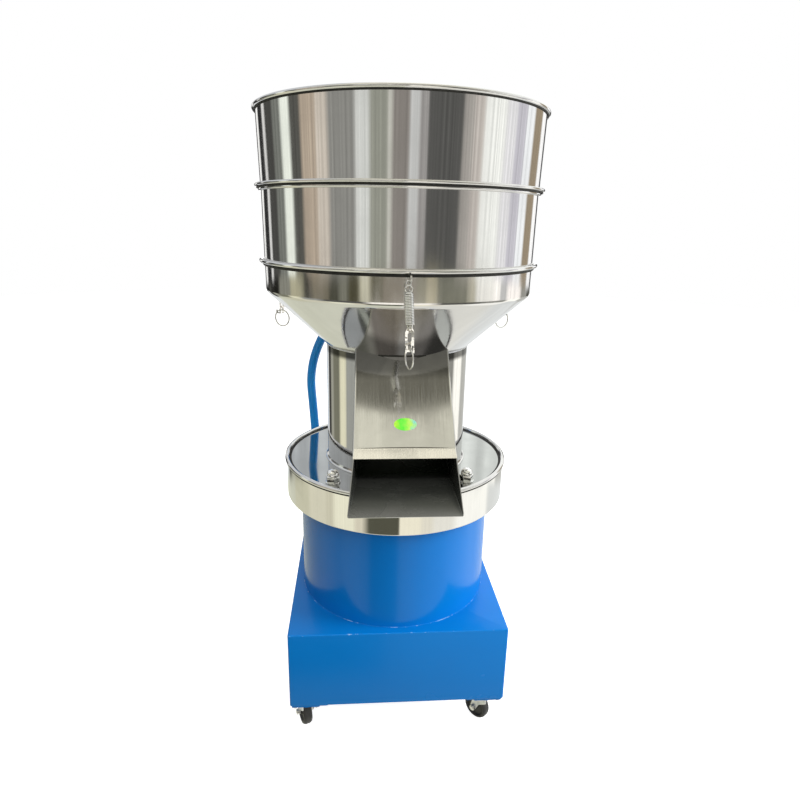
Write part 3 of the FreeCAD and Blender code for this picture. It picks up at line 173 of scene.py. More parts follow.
# studio: white ceiling, pale floor, and tall cards and windows round the machine;
# an edge is where a part starts and where it has taken over, as a sine of the elevation
studio = {
    "floorLeft": (0.64, 0.65, 0.54), "floorRight": (0.78, 0.78, 0.73), "floorEdge": (-0.6, -0.75),
    "ambient": 0.5, "gain": 1.25, "streaks": (0.66, 1.3), "plainEdge": (-0.19, -0.4), "plain": 0.75,
    # tall cards at eye height: from and to in degrees off the front, then tone
    "left": [(-180, -170, (1.0, 1.0, 1.0)), (-168, -160, (0.06, 0.06, 0.06)),
             (-158, -152, (0.9, 0.9, 0.88)), (-150, -139, (0.03, 0.03, 0.03)),
             (-137, -134, (0.8, 0.8, 0.78)), (-132, -120, (0.07, 0.07, 0.065)),
             (-118, -109, (0.2, 0.21, 0.19)), (-106, -98, (0.92, 0.97, 0.88)),
             (-95, -86, (0.1, 0.1, 0.09)), (-83, -71, (0.5, 0.42, 0.33)),
             (-69, -62, (0.66, 0.6, 0.52)), (-59, -40, (0.29, 0.29, 0.27)),
             (-36, -29, (0.74, 0.76, 0.73)), (-26, -14, (0.33, 0.34, 0.29)),
             (-12.5, -11, (0.62, 0.62, 0.56)), (-9, 0, (0.27, 0.25, 0.23))],
    "right": [(0, 1, (0.27, 0.25, 0.23)), (3, 8, (0.62, 0.63, 0.62)),
              (10, 15, (0.36, 0.35, 0.34)), (17, 41, (0.105, 0.105, 0.1)),
              (44, 50, (0.42, 0.4, 0.37)), (52, 59, (0.58, 0.54, 0.5)),
              (62, 79, (0.98, 1.0, 0.96)), (83, 92, (0.86, 0.86, 0.88)), (94, 104, (0.62, 0.61, 0.67)),
              (107, 117, (0.95, 0.98, 1.0)), (120, 133, (0.34, 0.28, 0.2)),
              (136, 146, (1.0, 1.0, 1.0)), (149, 156, (0.08, 0.08, 0.08)),
              (160, 180, (1.0, 1.0, 1.0))],
}

# what lies below eye height, from the top down: its edge, then its cards to the left
# and to the right
lowerRoom = {
    "chest": {"from": -0.097, "to": -0.112, "left": [
        (-180, -149, (0.02, 0.02, 0.018)), (-146, -143, (0.07, 0.07, 0.06)),
        (-140, -125, (0.015, 0.015, 0.012)), (-121, -107, (0.25, 0.25, 0.21)),
        (-104, -91, (0.44, 0.42, 0.29)), (-87, -81, (0.05, 0.05, 0.04)),
        (-78, -64, (0.2, 0.18, 0.13)), (-61, -55, (0.07, 0.07, 0.05)),
        (-51, -47, (0.2, 0.2, 0.16)), (-43, -37, (0.08, 0.075, 0.045)),
        (-33, -29, (0.62, 0.6, 0.46)), (-25, -19, (0.14, 0.13, 0.09)),
        (-15, 0, (0.24, 0.215, 0.17))],
        "right": [(0, 9, (0.26, 0.235, 0.185)), (12, 17, (0.26, 0.25, 0.18)),
                  (20, 26, (0.5, 0.46, 0.32)), (29, 53, (0.23, 0.23, 0.18)),
                  (57, 61, (0.5, 0.48, 0.38)), (65, 79, (0.95, 0.94, 0.88)),
                  (82, 88, (1.15, 1.12, 1.06)), (91, 97, (0.58, 0.58, 0.57)),
                  (101, 121, (1.1, 1.05, 1.0)), (125, 138, (0.32, 0.32, 0.29)),
                  (142, 147, (0.06, 0.06, 0.05)), (150, 180, (0.14, 0.14, 0.12))]},
    "waist": {"from": -0.168, "to": -0.178, "left": [
        (-180, -154, (0.72, 0.74, 0.74)), (-150, -142, (0.05, 0.05, 0.045)),
        (-138, -131, (0.36, 0.36, 0.3)), (-127, -112, (0.2, 0.2, 0.15)),
        (-107, -95, (0.8, 0.78, 0.58)), (-91, -75, (0.36, 0.37, 0.34)),
        (-66, -34, (0.1, 0.1, 0.09)), (-24, 0, (1.1, 1.06, 0.98))],
        "right": [(0, 22, (1.1, 1.06, 0.98)), (33, 66, (0.1, 0.1, 0.09)),
                  (78, 98, (0.3, 0.3, 0.27)), (104, 124, (1.15, 1.14, 1.06)),
                  (129, 150, (0.5, 0.5, 0.47)), (155, 180, (0.72, 0.74, 0.74))]},
    "knee": {"from": -0.39, "to": -0.415, "left": [
        (-180, -134, (0.6, 0.61, 0.5)), (-130, -106, (0.6, 0.59, 0.45)),
        (-100, -80, (0.7, 0.68, 0.54)), (-77, -71, (0.62, 0.6, 0.47)),
        (-66, -46, (0.84, 0.83, 0.66)), (-43, -37, (0.7, 0.66, 0.53)),
        (-30, 0, (0.09, 0.09, 0.065))],
        "right": [(0, 1, (0.09, 0.09, 0.065)), (2.5, 22, (0.9, 0.86, 0.7)),
                  (27, 34, (0.8, 0.77, 0.66)), (40, 59, (0.85, 0.84, 0.77)),
                  (66, 106, (1.05, 1.05, 1.0)), (114, 150, (0.72, 0.74, 0.73)),
                  (154, 180, (0.74, 0.77, 0.77))]},
}
# what hangs above eye height: the wall behind, the lit slope, dark beam and skylight in front
upperRoom = {"edge": (0.2, 0.3), "behindLeft": (0.62, 0.64, 0.66), "behindRight": (0.98, 1.0, 0.97),
             "behindTurn": (60, 100), "wall": (0.34, 0.34, 0.31), "slope": (0.74, 0.73, 0.62),
             "slopeEdge": (0.45, 0.62), "beam": (0.17, 0.165, 0.135), "beamEdge": (0.784, 0.793),
             "beamBow": 0.2125, "skylight": (1.05, 1.02, 0.9), "skylightEdge": (0.9, 0.95)}


def cardRamp(tree, source, cards):
    low = cards[0][0]
    high = cards[-1][1]
    stops = [((edge - low) / (high - low), tone) for start, end, tone in cards
             for edge in (start, end)]
    return toneRamp(tree, spread(tree, source, low, high, 0, 1), stops)


def roomTone(tree, x, z, turn):  # the painted room, by turn and height
    rightSide = sums(tree, "GREATER_THAN", turn, 0.0)

    def sided(left, right):
        return blendTone(tree, rightSide, left, right)

    def sidedCards(part):
        return sided(cardRamp(tree, turn, part["left"]), cardRamp(tree, turn, part["right"]))

    def cover(source, edge, under, over):
        return blendTone(tree, spread(tree, source, *edge, 0, 1, True), under, over)

    tone = sidedCards(studio)
    for part in lowerRoom.values():
        tone = cover(z, (part["from"], part["to"]), tone, sidedCards(part))
    tone = cover(z, studio["floorEdge"], tone, sided(studio["floorLeft"], studio["floorRight"]))
    front = cover(z, upperRoom["slopeEdge"], upperRoom["wall"], upperRoom["slope"])
    bow = sums(tree, "MULTIPLY", x, sums(tree, "SUBTRACT", upperRoom["beamBow"], x))
    front = cover(sums(tree, "ADD", z, bow), upperRoom["beamEdge"], front, upperRoom["beam"])
    upper = cover(sums(tree, "ABSOLUTE", turn), upperRoom["behindTurn"], front,
                  sided(upperRoom["behindLeft"], upperRoom["behindRight"]))
    upper = cover(z, upperRoom["skylightEdge"], upper, upperRoom["skylight"])
    return cover(z, upperRoom["edge"], tone, upper)


def roomStreaks(tree, z, turn):  # uneven brightness, calmer towards the floor
    streak = addNode(tree, "ShaderNodeTexNoise", {"Scale": 0.5, "Detail": 6.0, "Roughness": 0.75},
                     noise_dimensions="1D")
    plug(tree, turn, streak, "W")
    uneven = spread(tree, streak.outputs[0], 0.3, 0.7, *studio["streaks"])
    plain = spread(tree, z, *studio["plainEdge"], 0, studio["plain"])
    uneven = sums(tree, "MULTIPLY", uneven, sums(tree, "SUBTRACT", 1.0, plain))
    return sums(tree, "MULTIPLY", sums(tree, "ADD", uneven, plain), studio["gain"])


def buildStudio():
    world = bpy.data.worlds.new("studio")
    scene.world = world
    world.use_nodes = True
    tree = world.node_tree
    tree.nodes.clear()
    x, y, z = axesOf(tree, "Generated")
    turn = sums(tree, "DEGREES", sums(tree, "ARCTAN2", x, sums(tree, "MULTIPLY", y, -1.0)))
    product = addNode(tree, "ShaderNodeVectorMath", operation="SCALE")
    plug(tree, roomTone(tree, x, z, turn), product, 0)
    plug(tree, roomStreaks(tree, z, turn), product, "Scale")
    seen = addNode(tree, "ShaderNodeBackground", {"Color": (1, 1, 1, 1), "Strength": 1.0})
    lit = addNode(tree, "ShaderNodeBackground")
    plug(tree, product.outputs[0], lit, "Color")
    path = addNode(tree, "ShaderNodeLightPath")
    plug(tree, spread(tree, path.outputs["Is Diffuse Ray"], 0, 1, 1, studio["ambient"]), lit,
         "Strength")
    chosen = addNode(tree, "ShaderNodeMixShader")
    for source, socket in ((path.outputs["Is Camera Ray"], "Fac"), (lit.outputs[0], 1),
                           (seen.outputs[0], 2)):
        plug(tree, source, chosen, socket)
    out = addNode(tree, "ShaderNodeOutputWorld")
    plug(tree, chosen.outputs[0], out, "Surface")


ground = {"radius": 9.0, "tone": (0.7, 0.7, 0.7, 1), "glow": 0.85}


def buildFloor():
    bm = bmesh.new()
    bmesh.ops.create_circle(bm, cap_ends=True, segments=96, radius=ground["radius"])
    floor = placeMesh("floor", bm)
    material = newMaterial("pale floor", {
        "Roughness": 0.9, "Base Color": ground["tone"], "Emission Color": (1.0, 1.0, 1.0, 1),
        "Emission Strength": ground["glow"]})[0]
    floor.data.materials.append(material)
    floor.visible_glossy = False  # polished sheet mirrors the studio, not the bare floor
    floor.visible_diffuse = False


lamps = {
    "overhead": {"place": (0.2, -2.0, 2.8), "size": 2.2, "power": 34},
    "front": {"place": (1.2, -2.8, 0.9), "size": 1.6, "power": 27},
    "leftFill": {"place": (-2.6, -0.4, 2.4), "size": 1.6, "power": 7},
    "rightKey": {"place": (2.6, -0.6, 1.6), "size": 1.2, "power": 82},
    "back": {"place": (0.4, 2.6, 2.8), "size": 2.4, "power": 26},
}
lampTarget = Vector((0, 0, 0.65))


def buildLamps():
    for name, lamp in lamps.items():
        light = bpy.data.lights.new(name, "AREA")
        light.size = lamp["size"]
        light.energy = lamp["power"]
        thing = bpy.data.objects.new(name, light)
        scene.collection.objects.link(thing)
        aim = (lampTarget - Vector(lamp["place"])).to_track_quat("-Z", "Y")
        thing.matrix_world = Matrix.Translation(lamp["place"]) @ aim.to_matrix().to_4x4()
        thing.visible_glossy = False
        thing.visible_camera = False


buildStudio()
buildFloor()
buildLamps()
print("studio lit")


# mesh helpers
def shift(x, y, z):
    return Matrix.Translation((x, y, z))


def turnBy(degrees, axis="Z"):
    return Matrix.Rotation(math.radians(degrees), 4, axis)


def moveAll(bm, matrix):
    bmesh.ops.transform(bm, matrix=matrix, verts=bm.verts[:])


def trace(bm, start, moves, hold=0.0012):
    # profile from the axis outwards: straight moves are (radius, height), curls are
    # (radius, height, degrees, steps) about that point, clockwise when positive;
    # a long straight gets a point near each end, which keeps its reflection flat
    first = last = bm.verts.new((start[0], 0.0, start[1]))
    for move in moves:
        if len(move) == 2:
            span = Vector((move[0], 0.0, move[1])) - last.co
            stops = [hold, span.length - hold, span.length] if span.length > 0.01 else [span.length]
            begin = last.co.copy()
            for stop in stops:
                reached = bm.verts.new(begin + span.normalized() * stop)
                bm.edges.new((last, reached))
                last = reached
        else:
            radius, height, degrees, steps = move
            made = bmesh.ops.spin(bm, geom=[last], cent=(radius, 0, height), axis=(0, 1, 0),
                                  angle=math.radians(degrees), steps=steps)
            last = made["geom_last"][0]
    return first, last


def roundPoints(bm, verts, width, segments):
    bmesh.ops.bevel(bm, geom=verts, offset=width, segments=segments, profile=0.5,
                    affect="VERTICES", material=-1)


def roundEdges(bm, edges, width, segments):
    bmesh.ops.bevel(bm, geom=edges, offset=width, offset_type="OFFSET", segments=segments,
                    profile=0.5, affect="EDGES", clamp_overlap=True, material=-1)


def loop(bm, points, rounding, segments=3):  # closed profile with rounded corners
    first, last = trace(bm, points[0], points[1:])
    bm.edges.new((last, first))
    roundPoints(bm, bm.verts[:], rounding, segments)


def sweep(bm, geom, steps, turns=1, rise=0.0):  # round the upright axis, or up it as a coil
    bmesh.ops.spin(bm, geom=geom, cent=(0, 0, 0), axis=(0, 0, 1), angle=math.tau * turns,
                   steps=steps, dvec=(0, 0, rise), use_merge=not rise)


def spinAll(bm, steps=192):
    sweep(bm, bm.verts[:] + bm.edges[:], steps)


def spun(*profiles, steps=192, hold=0.0012):
    bm = bmesh.new()
    for start, *moves in profiles:
        trace(bm, start, moves, hold)
    spinAll(bm, steps)
    return bm


def spunBand(inside, outside, low, high, rounding, steps):  # square ring with rounded corners
    bm = bmesh.new()
    loop(bm, [(inside, low), (outside, low), (outside, high), (inside, high)], rounding)
    spinAll(bm, steps)
    return bm


def addRound(bm, low, high, tall, segments, matrix):  # capped cylinder or cone
    bmesh.ops.create_cone(bm, cap_ends=True, segments=segments, radius1=low, radius2=high,
                          depth=tall, matrix=matrix)


def addBar(bm, spot, size):
    bmesh.ops.create_cube(bm, size=1.0, matrix=spot @ Matrix.Diagonal((*size, 1)))


def wireSection(bm, radius, height, wire, sides):
    stand = shift(radius, 0, height) @ turnBy(90, "X")
    ring = bmesh.ops.create_circle(bm, segments=sides, radius=wire, matrix=stand)["verts"]
    return ring + list(dict.fromkeys(edge for vert in ring for edge in vert.link_edges))


def addBead(bm, radius, height, wire, sides=20, steps=192):  # round bead about the axis
    sweep(bm, wireSection(bm, radius, height, wire, sides), steps)


def addUpright(bm, low, high, turn, wire):  # thin rod between two (radius, height) points
    low = Vector((low[0], 0, low[1]))
    high = Vector((high[0], 0, high[1]))
    stand = (high - low).to_track_quat("Z", "Y").to_matrix().to_4x4()
    addRound(bm, wire, wire, (high - low).length, 10,
             turnBy(turn) @ Matrix.Translation((low + high) / 2) @ stand)


def addTo(bm, other):  # pours one finished bmesh into another
    mesh = bpy.data.meshes.new("pour")
    other.to_mesh(mesh)
    other.free()
    bm.from_mesh(mesh)
    bpy.data.meshes.remove(mesh)


def smoothEdges(mesh, sharp):
    mesh.shade_smooth()
    mesh.set_sharp_from_angle(angle=math.radians(sharp))


def makePiece(name, bm, body, material, node=None, sharp=35, thick=0.0, side=0.0,
              outward=True, inner=()):
    bmesh.ops.remove_doubles(bm, verts=bm.verts[:], dist=2e-6)
    if outward:
        bmesh.ops.recalc_face_normals(bm, faces=bm.faces[:])
    piece = placeMesh(name, bm)
    smoothEdges(piece.data, sharp)
    for finish in (material, *inner):  # the last of the inner ones is the wall's far side
        piece.data.materials.append(finish)
    if thick:
        wall = piece.modifiers.new("wall", "SOLIDIFY")
        wall.material_offset = len(inner)
        wall.thickness = thick
        wall.offset = side
        wall.use_even_offset = True
        settle(piece, sharp)
    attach(piece, body)
    if node:
        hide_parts(node)
    return piece


def settle(piece, sharp):  # the modifiers' result becomes the mesh
    graph = bpy.context.evaluated_depsgraph_get()
    mesh = bpy.data.meshes.new_from_object(piece.evaluated_get(graph))
    mesh.name = piece.name
    piece.modifiers.clear()
    piece.data = mesh
    smoothEdges(mesh, sharp)


def carve(piece, cutter, sharp):
    bmesh.ops.recalc_face_normals(cutter, faces=cutter.faces[:])
    tool = placeMesh("cutter", cutter)
    cut = piece.modifiers.new("cut", "BOOLEAN")
    cut.operation = "DIFFERENCE"
    cut.solver = "EXACT"
    cut.object = tool
    settle(piece, sharp)
    mesh = tool.data
    bpy.data.objects.remove(tool)
    bpy.data.meshes.remove(mesh)


def roundRim(piece, width, segments, angle=30):
    rim = piece.modifiers.new("rim", "BEVEL")
    rim.width = width
    rim.segments = segments
    rim.limit_method = "ANGLE"
    rim.angle_limit = math.radians(angle)


def softCopy(node, name, body, material, width, segments):
    # copy of a plain part with its doubled points merged and its edges rounded
    bm = bmesh.new()
    bm.from_mesh(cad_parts[node].data)
    bmesh.ops.remove_doubles(bm, verts=bm.verts[:], dist=1e-5)
    bmesh.ops.dissolve_limit(bm, angle_limit=math.radians(1.0), verts=bm.verts[:], edges=bm.edges[:])
    roundRim(makePiece(name, bm, body, material, node, outward=False), width, segments)


# finishes
def paintedShadeBand(tree, tone, axis, start, end, amount):  # painted shade: sheet darkened along one axis into a dark band
    shade = spread(tree, axesOf(tree)[axis], start, end, 0, amount, True)
    return blendTone(tree, shade, tone, (0.03, 0.03, 0.026))


def polishedSteel(name, **changes):
    look = dict(ringLook, **changes)
    material, tree, shader = newMaterial(name, {"Metallic": 1.0})
    smudge = cloud(tree, (1, 1, 1), look["smudge"], 6, 0.62, 0.4)
    tone = blendTone(tree, spread(tree, smudge, 0.38, 0.72, 0, 1), look["bright"], look["dull"])
    if "tint" in look:
        tone = paintedShadeBand(tree, tone, *look["tint"])
    plug(tree, tone, shader, "Base Color")
    wipe = cloud(tree, look["wipe"], 1.0, 4, 0.6)
    rough = sums(tree, "ADD", spread(tree, smudge, 0.35, 0.75, look["smooth"], look["hazy"]),
                 spread(tree, wipe, 0.5, 0.8, 0.0, look["wipeHaze"]))
    plug(tree, rough, shader, "Roughness")
    wave = relief(tree, cloud(tree, look["wave"], 1.0, 1, 0.4), 1.0, look["waveDepth"])
    grain = relief(tree, cloud(tree, look["grain"], 1.0, 2, 0.5), 1.0, look["grainDepth"], wave)
    plug(tree, grain, shader, "Normal")
    return material


ringLook = {"bright": (0.72, 0.71, 0.7), "dull": (0.64, 0.63, 0.62), "smudge": 5.0,
            "wipe": (60, 60, 3), "smooth": 0.03, "hazy": 0.1, "wipeHaze": 0.05,
            "wave": (16, 16, 1.2), "waveDepth": 0.00045, "grain": (300, 300, 4),
            "grainDepth": 0.000004}
smallLook = {"smudge": 40, "wave": (60, 60, 60), "waveDepth": 0.00004, "wipe": (300, 300, 300)}
hopperSteel = polishedSteel("hopper polished sheet")
sieveSteel = polishedSteel("sieve ring polished sheet", smudge=6.5, hazy=0.12)
funnelSteel = polishedSteel("funnel polished sheet", wave=(9, 9, 7), waveDepth=0.0006, smooth=0.05,
                            hazy=0.16)
# painted shade: a dark band round the neck's head, in the shadow under the cone
neckSteel = polishedSteel("neck polished sheet", wave=(22, 22, 2), waveDepth=0.0004,
                          tint=(2, 0.85, 0.861, 0.9))
capSteel = polishedSteel("cap mirror plate", bright=(0.49, 0.5, 0.49), dull=(0.43, 0.44, 0.43),
                         wave=(5, 5, 5), waveDepth=0.0004, wipe=(14, 14, 14), grain=(90, 90, 90))
skirtSteel = polishedSteel("cap skirt polished band", bright=(0.75, 0.74, 0.72),
                           dull=(0.69, 0.68, 0.66), hazy=0.14)
rimSteel = polishedSteel("rolled rim steel", smooth=0.06, hazy=0.14, waveDepth=0.0001)
brightSteel = polishedSteel("bright small steel", **smallLook, smooth=0.08, hazy=0.22)
nutSteel = polishedSteel("polished nut steel", **smallLook, bright=(0.95, 0.95, 0.94),
                         dull=(0.85, 0.85, 0.84))
hookSteel = polishedSteel("pale hook steel", bright=(0.9, 0.9, 0.88), dull=(0.6, 0.6, 0.58), smudge=70,
                          wave=(110, 110, 110), waveDepth=0.0009, smooth=0.06, hazy=0.16,
                          wipe=(300, 300, 300))
wireSteel = polishedSteel("bright spring wire", smudge=60, bright=(0.9, 0.9, 0.89),
                          dull=(0.66, 0.66, 0.66), smooth=0.05, hazy=0.14, wave=(90, 90, 90),
                          waveDepth=0.00003)


def satinSteel(name, **changes):
    look = dict(zincLook, **changes)
    material, tree, shader = newMaterial(name, {"Metallic": 1.0})
    patch = cloud(tree, (1, 1, 1), look["patch"], 5, 0.6, 0.3)
    tone = blendTone(tree, spread(tree, patch, 0.35, 0.7, 0, 1), look["bright"], look["dull"])
    if "tint" in look:
        tone = paintedShadeBand(tree, tone, *look["tint"])
    plug(tree, tone, shader, "Base Color")
    brush = cloud(tree, look["brush"], 1.0, 5, 0.65)
    rough = sums(tree, "ADD", spread(tree, patch, 0.3, 0.75, look["smooth"], look["hazy"]),
                 spread(tree, brush, 0.3, 0.7, -0.04, 0.06))
    plug(tree, rough, shader, "Roughness")
    dent = relief(tree, cloud(tree, (7, 7, 7), 1.0, 1, 0.4), 1.0, look["dent"])
    plug(tree, relief(tree, brush, 1.0, look["brushDepth"], dent), shader, "Normal")
    return material


zincLook = {"bright": (0.72, 0.73, 0.75), "dull": (0.5, 0.51, 0.54), "patch": 55.0,
            "brush": (120, 120, 120), "smooth": 0.25, "hazy": 0.45, "dent": 0.0002,
            "brushDepth": 0.00002}
# painted shade: the chute roof darkened towards its top
chuteSteel = satinSteel("chute satin sheet", bright=(0.66, 0.65, 0.63), dull=(0.57, 0.56, 0.54),
                        patch=9.0, brush=(500, 14, 14), smooth=0.04, hazy=0.1, dent=0.0003,
                        brushDepth=0.000004, tint=(2, 0.825, 0.85, 0.6))
# painted highlight: a lighter, cream copy of the chute sheet for the brow face
browLitSteel = satinSteel("chute brow satin sheet", bright=(0.78, 0.76, 0.7), dull=(0.74, 0.72, 0.66),
                       patch=12.0, brush=(500, 14, 14), smooth=0.2, hazy=0.3, dent=0.0003,
                       brushDepth=0.000005)
plateSteel = satinSteel("inner satin sheet", bright=(0.66, 0.65, 0.63), dull=(0.52, 0.51, 0.49),
                        patch=12.0, brush=(300, 20, 20), smooth=0.28, hazy=0.42, dent=0.0006)
zincSteel = satinSteel("zinc pressed sheet")
# painted shade: the neck's head weld darkened at the front, where it lies inside the duct
weldSteel = satinSteel("weld bead steel", tint=(1, -0.122, -0.132, 0.97))
meshSteel = satinSteel("sieve mesh wire", bright=(0.6, 0.6, 0.58), dull=(0.42, 0.42, 0.4), patch=20.0,
                       brush=(200, 200, 200), smooth=0.3, dent=0.0001, brushDepth=0.00001)
springSteel = satinSteel("support spring wire", bright=(0.35, 0.35, 0.36), dull=(0.2, 0.2, 0.21),
                         patch=40.0, brush=(150, 150, 150), smooth=0.35, hazy=0.5)


def gloss(name, **changes):  # paint, plastic and rubber
    look = dict(paintLook, **changes)
    material, tree, shader = newMaterial(name, look["fixed"])
    drift = cloud(tree, (1, 1, 1), look["drift"], 5, 0.6, 0.2)
    tone = blendTone(tree, spread(tree, drift, 0.35, 0.68, 0, 1), look["tone"], look["second"])
    speck = cloud(tree, (1, 1, 1), look["speckScale"], 2, 0.5)
    tone = blendTone(tree, spread(tree, speck, look["speckFrom"], look["speckFrom"] + 0.04, 0, 0.5),
                     tone, look["speck"])
    if "chips" in look:
        tone = blendTone(tree, edgeWearAndGleam(tree, look["chips"]), tone, look["bare"])
    plug(tree, tone, shader, "Base Color")
    plug(tree, spread(tree, drift, 0.3, 0.75, look["smooth"], look["hazy"]), shader, "Roughness")
    warp = relief(tree, cloud(tree, (5, 5, 5), 1.0, 1, 0.4), 1.0, look["warp"])
    peel = relief(tree, cloud(tree, (1, 1, 1), look["peelScale"], 2, 0.5), 1.0, look["peel"], warp)
    plug(tree, peel, shader, "Normal")
    return material


def edgeWearAndGleam(tree, chips):  # thin pale lines on the cabinet's folds and at the drum's foot: worn paint, and painted highlight along the edges
    x, y, z = axesOf(tree)
    patchy = spread(tree, cloud(tree, (1, 1, 1), chips["scale"], 5, 0.7), chips["from"],
                  chips["from"] + 0.08, 0, 1)
    if chips["kind"] == "foot":
        near = spread(tree, z, chips["height"] + 0.0008, chips["height"] + 0.0016, 1, 0)
        return sums(tree, "MULTIPLY", near, patchy)

    def strip(source, end):
        return spread(tree, source, end - 0.0022, end - 0.0014, 0, 1)

    sideX = strip(sums(tree, "ABSOLUTE", x), chips["half"])
    sideY = strip(sums(tree, "ABSOLUTE", y), chips["half"])
    edge = sums(tree, "MULTIPLY", strip(z, chips["height"]), sums(tree, "MAXIMUM", sideX, sideY))
    edge = sums(tree, "MAXIMUM", edge, sums(tree, "MULTIPLY", sideX, sideY))
    return sums(tree, "MULTIPLY", edge, patchy)


paintLook = {"fixed": {"Coat Weight": 0.07, "Coat Roughness": 0.06, "Specular IOR Level": 0.16},
             "tone": (0.001, 0.175, 0.56), "second": (0.001, 0.186, 0.585), "drift": 3.0,
             "speck": (0.1, 0.3, 0.66), "speckScale": 520, "speckFrom": 0.8, "smooth": 0.2,
             "hazy": 0.3, "warp": 0.0012, "peelScale": 420, "peel": 0.000012,
             "bare": (0.3, 0.5, 0.75)}
# worn paint and painted highlight along the weld at the drum's foot
drumPaint = gloss("drum blue enamel",
                  fixed={"Coat Weight": 0.2, "Coat Roughness": 0.13, "Specular IOR Level": 0.16},
                  tone=(0.001, 0.158, 0.53), second=(0.001, 0.168, 0.555),
                  chips={"kind": "foot", "height": 0.276, "scale": 26, "from": 0.53})
# worn paint and painted highlight along the cabinet's top folds and corners
cabinetPaint = gloss("cabinet blue enamel",
                     chips={"kind": "folds", "half": 0.242, "height": 0.276, "scale": 38, "from": 0.59})
motorPaint = gloss("motor grey enamel", tone=(0.12, 0.13, 0.14), second=(0.16, 0.17, 0.18),
                   speck=(0.4, 0.4, 0.4), peelScale=900, peel=0.00003, hazy=0.4, smooth=0.3)
castIron = gloss("weight cast iron", fixed={"Metallic": 0.6}, tone=(0.09, 0.09, 0.09),
                 second=(0.14, 0.12, 0.11), speck=(0.3, 0.2, 0.14), speckFrom=0.66, peel=0.0002,
                 smooth=0.5, hazy=0.7)
hosePlastic = gloss("hose blue plastic", fixed={"Specular IOR Level": 0.5, "Subsurface Weight": 0.05},
                    tone=(0.002, 0.31, 0.92), second=(0.004, 0.34, 0.96), drift=14.0,
                    speck=(0.1, 0.35, 0.75), speckScale=300, smooth=0.24, hazy=0.36, warp=0.0003,
                    peelScale=240, peel=0.00001)
blackPlastic = gloss("switch black plastic", fixed={"Specular IOR Level": 0.45},
                     tone=(0.025, 0.025, 0.028), second=(0.034, 0.034, 0.036), drift=30.0,
                     speck=(0.12, 0.12, 0.12), speckScale=700, smooth=0.38, hazy=0.5, warp=0.0001,
                     peelScale=1500, peel=0.00003)
tyreRubber = gloss("wheel black rubber", fixed={"Specular IOR Level": 0.4}, tone=(0.02, 0.02, 0.022),
                   second=(0.05, 0.048, 0.045), drift=60.0, speck=(0.2, 0.19, 0.17), speckScale=900,
                   speckFrom=0.74, smooth=0.38, hazy=0.6, warp=0.0002, peelScale=1200, peel=0.00003)
siliconeStrip = gloss("silicone strip", fixed={"Subsurface Weight": 0.2, "Specular IOR Level": 0.4},
                      tone=(0.72, 0.72, 0.69), second=(0.62, 0.62, 0.58), drift=40.0,
                      speck=(0.4, 0.4, 0.36), speckScale=600, speckFrom=0.76, smooth=0.4, hazy=0.55,
                      warp=0.0002, peelScale=800, peel=0.00002)
whiteMark = gloss("white mark ink", fixed={"Specular IOR Level": 0.3}, tone=(0.85, 0.85, 0.83),
                  second=(0.75, 0.75, 0.73), drift=200.0, speck=(0.4, 0.4, 0.4), speckScale=1500,
                  speckFrom=0.76, smooth=0.5, hazy=0.6, warp=0.0, peelScale=2000, peel=0.00001)
# painted shade: near-black finish for the gaps under the beads and rims
creaseShade = gloss("dark crease", fixed={"Specular IOR Level": 0.2}, tone=(0.012, 0.012, 0.011),
                   second=(0.03, 0.029, 0.026), drift=50.0, speck=(0.1, 0.1, 0.09), speckScale=400,
                   speckFrom=0.72, smooth=0.5, hazy=0.7, warp=0.0001, peelScale=600, peel=0.00003)


# the duct's inner faces, darker the deeper they lie
insideLook = {"mouth": -0.322, "deep": -0.235, "first": (0.13, 0.132, 0.124),
              "shades": [(0.23, 0.068), (0.51, 0.046), (0.86, 0.03), (0.91, 0.008)],
              "last": (0.003, 0.005, 0.002), "dust": (0.2, 0.2, 0.19)}


def shadedInside(name, look):
    material, tree, shader = newMaterial(name, {"Metallic": 0.5})
    deep = spread(tree, axesOf(tree)[1], look["mouth"], look["deep"], 0, 1)
    shades = [(place, (shade, shade * 1.06, shade * 0.94)) for place, shade in look["shades"]]
    depth = toneRamp(tree, deep, [(0, look["first"]), *shades, (1, look["last"])])
    smear = cloud(tree, (9, 30, 30), 1.0, 5, 0.6, 0.6)
    dusty = blendTone(tree, spread(tree, smear, 0.45, 0.7, 0, 0.16), depth, look["dust"])
    plug(tree, blendTone(tree, deep, dusty, depth), shader, "Base Color")
    plug(tree, spread(tree, smear, 0.3, 0.7, 0.24, 0.3), shader, "Roughness")
    brush = cloud(tree, (500, 14, 14), 1.0, 4, 0.6)
    plug(tree, relief(tree, brush, 1.0, 0.00001), shader, "Normal")
    return material


chuteInside = shadedInside("chute inner sheet", insideLook)
print("finishes mixed")


curl = {"head": (300, 18), "foot": (-280, 16)}  # degrees and steps of the rolled edges

# hopper ring: tapered wall curled over a wire at the top, foot ring with a lip inside
hopper = {"sheet": 0.0015, "foot": (0.28875, 1.1975), "rim": (0.2932, 1.342),
          "rimCurl": (0.2962, 1.342), "footCurl": (0.298, 1.199), "footLow": 1.19675,
          "lip": [(0.28585, 1.1812), (0.28585, 1.1925), (0.2862, 1.1945), (0.2875, 1.1963),
                  (0.290, 1.19675)]}


def buildHopper():
    wall = [hopper["foot"], hopper["rim"], (*hopper["rimCurl"], *curl["head"])]
    foot = [*hopper["lip"], (hopper["footCurl"][0], hopper["footLow"]),
            (*hopper["footCurl"], *curl["foot"])]
    bm = spun(wall, foot, steps=224)
    makePiece("hopperWall", bm, "hopper", hopperSteel, "hopper_ring", 50,
              hopper["sheet"])


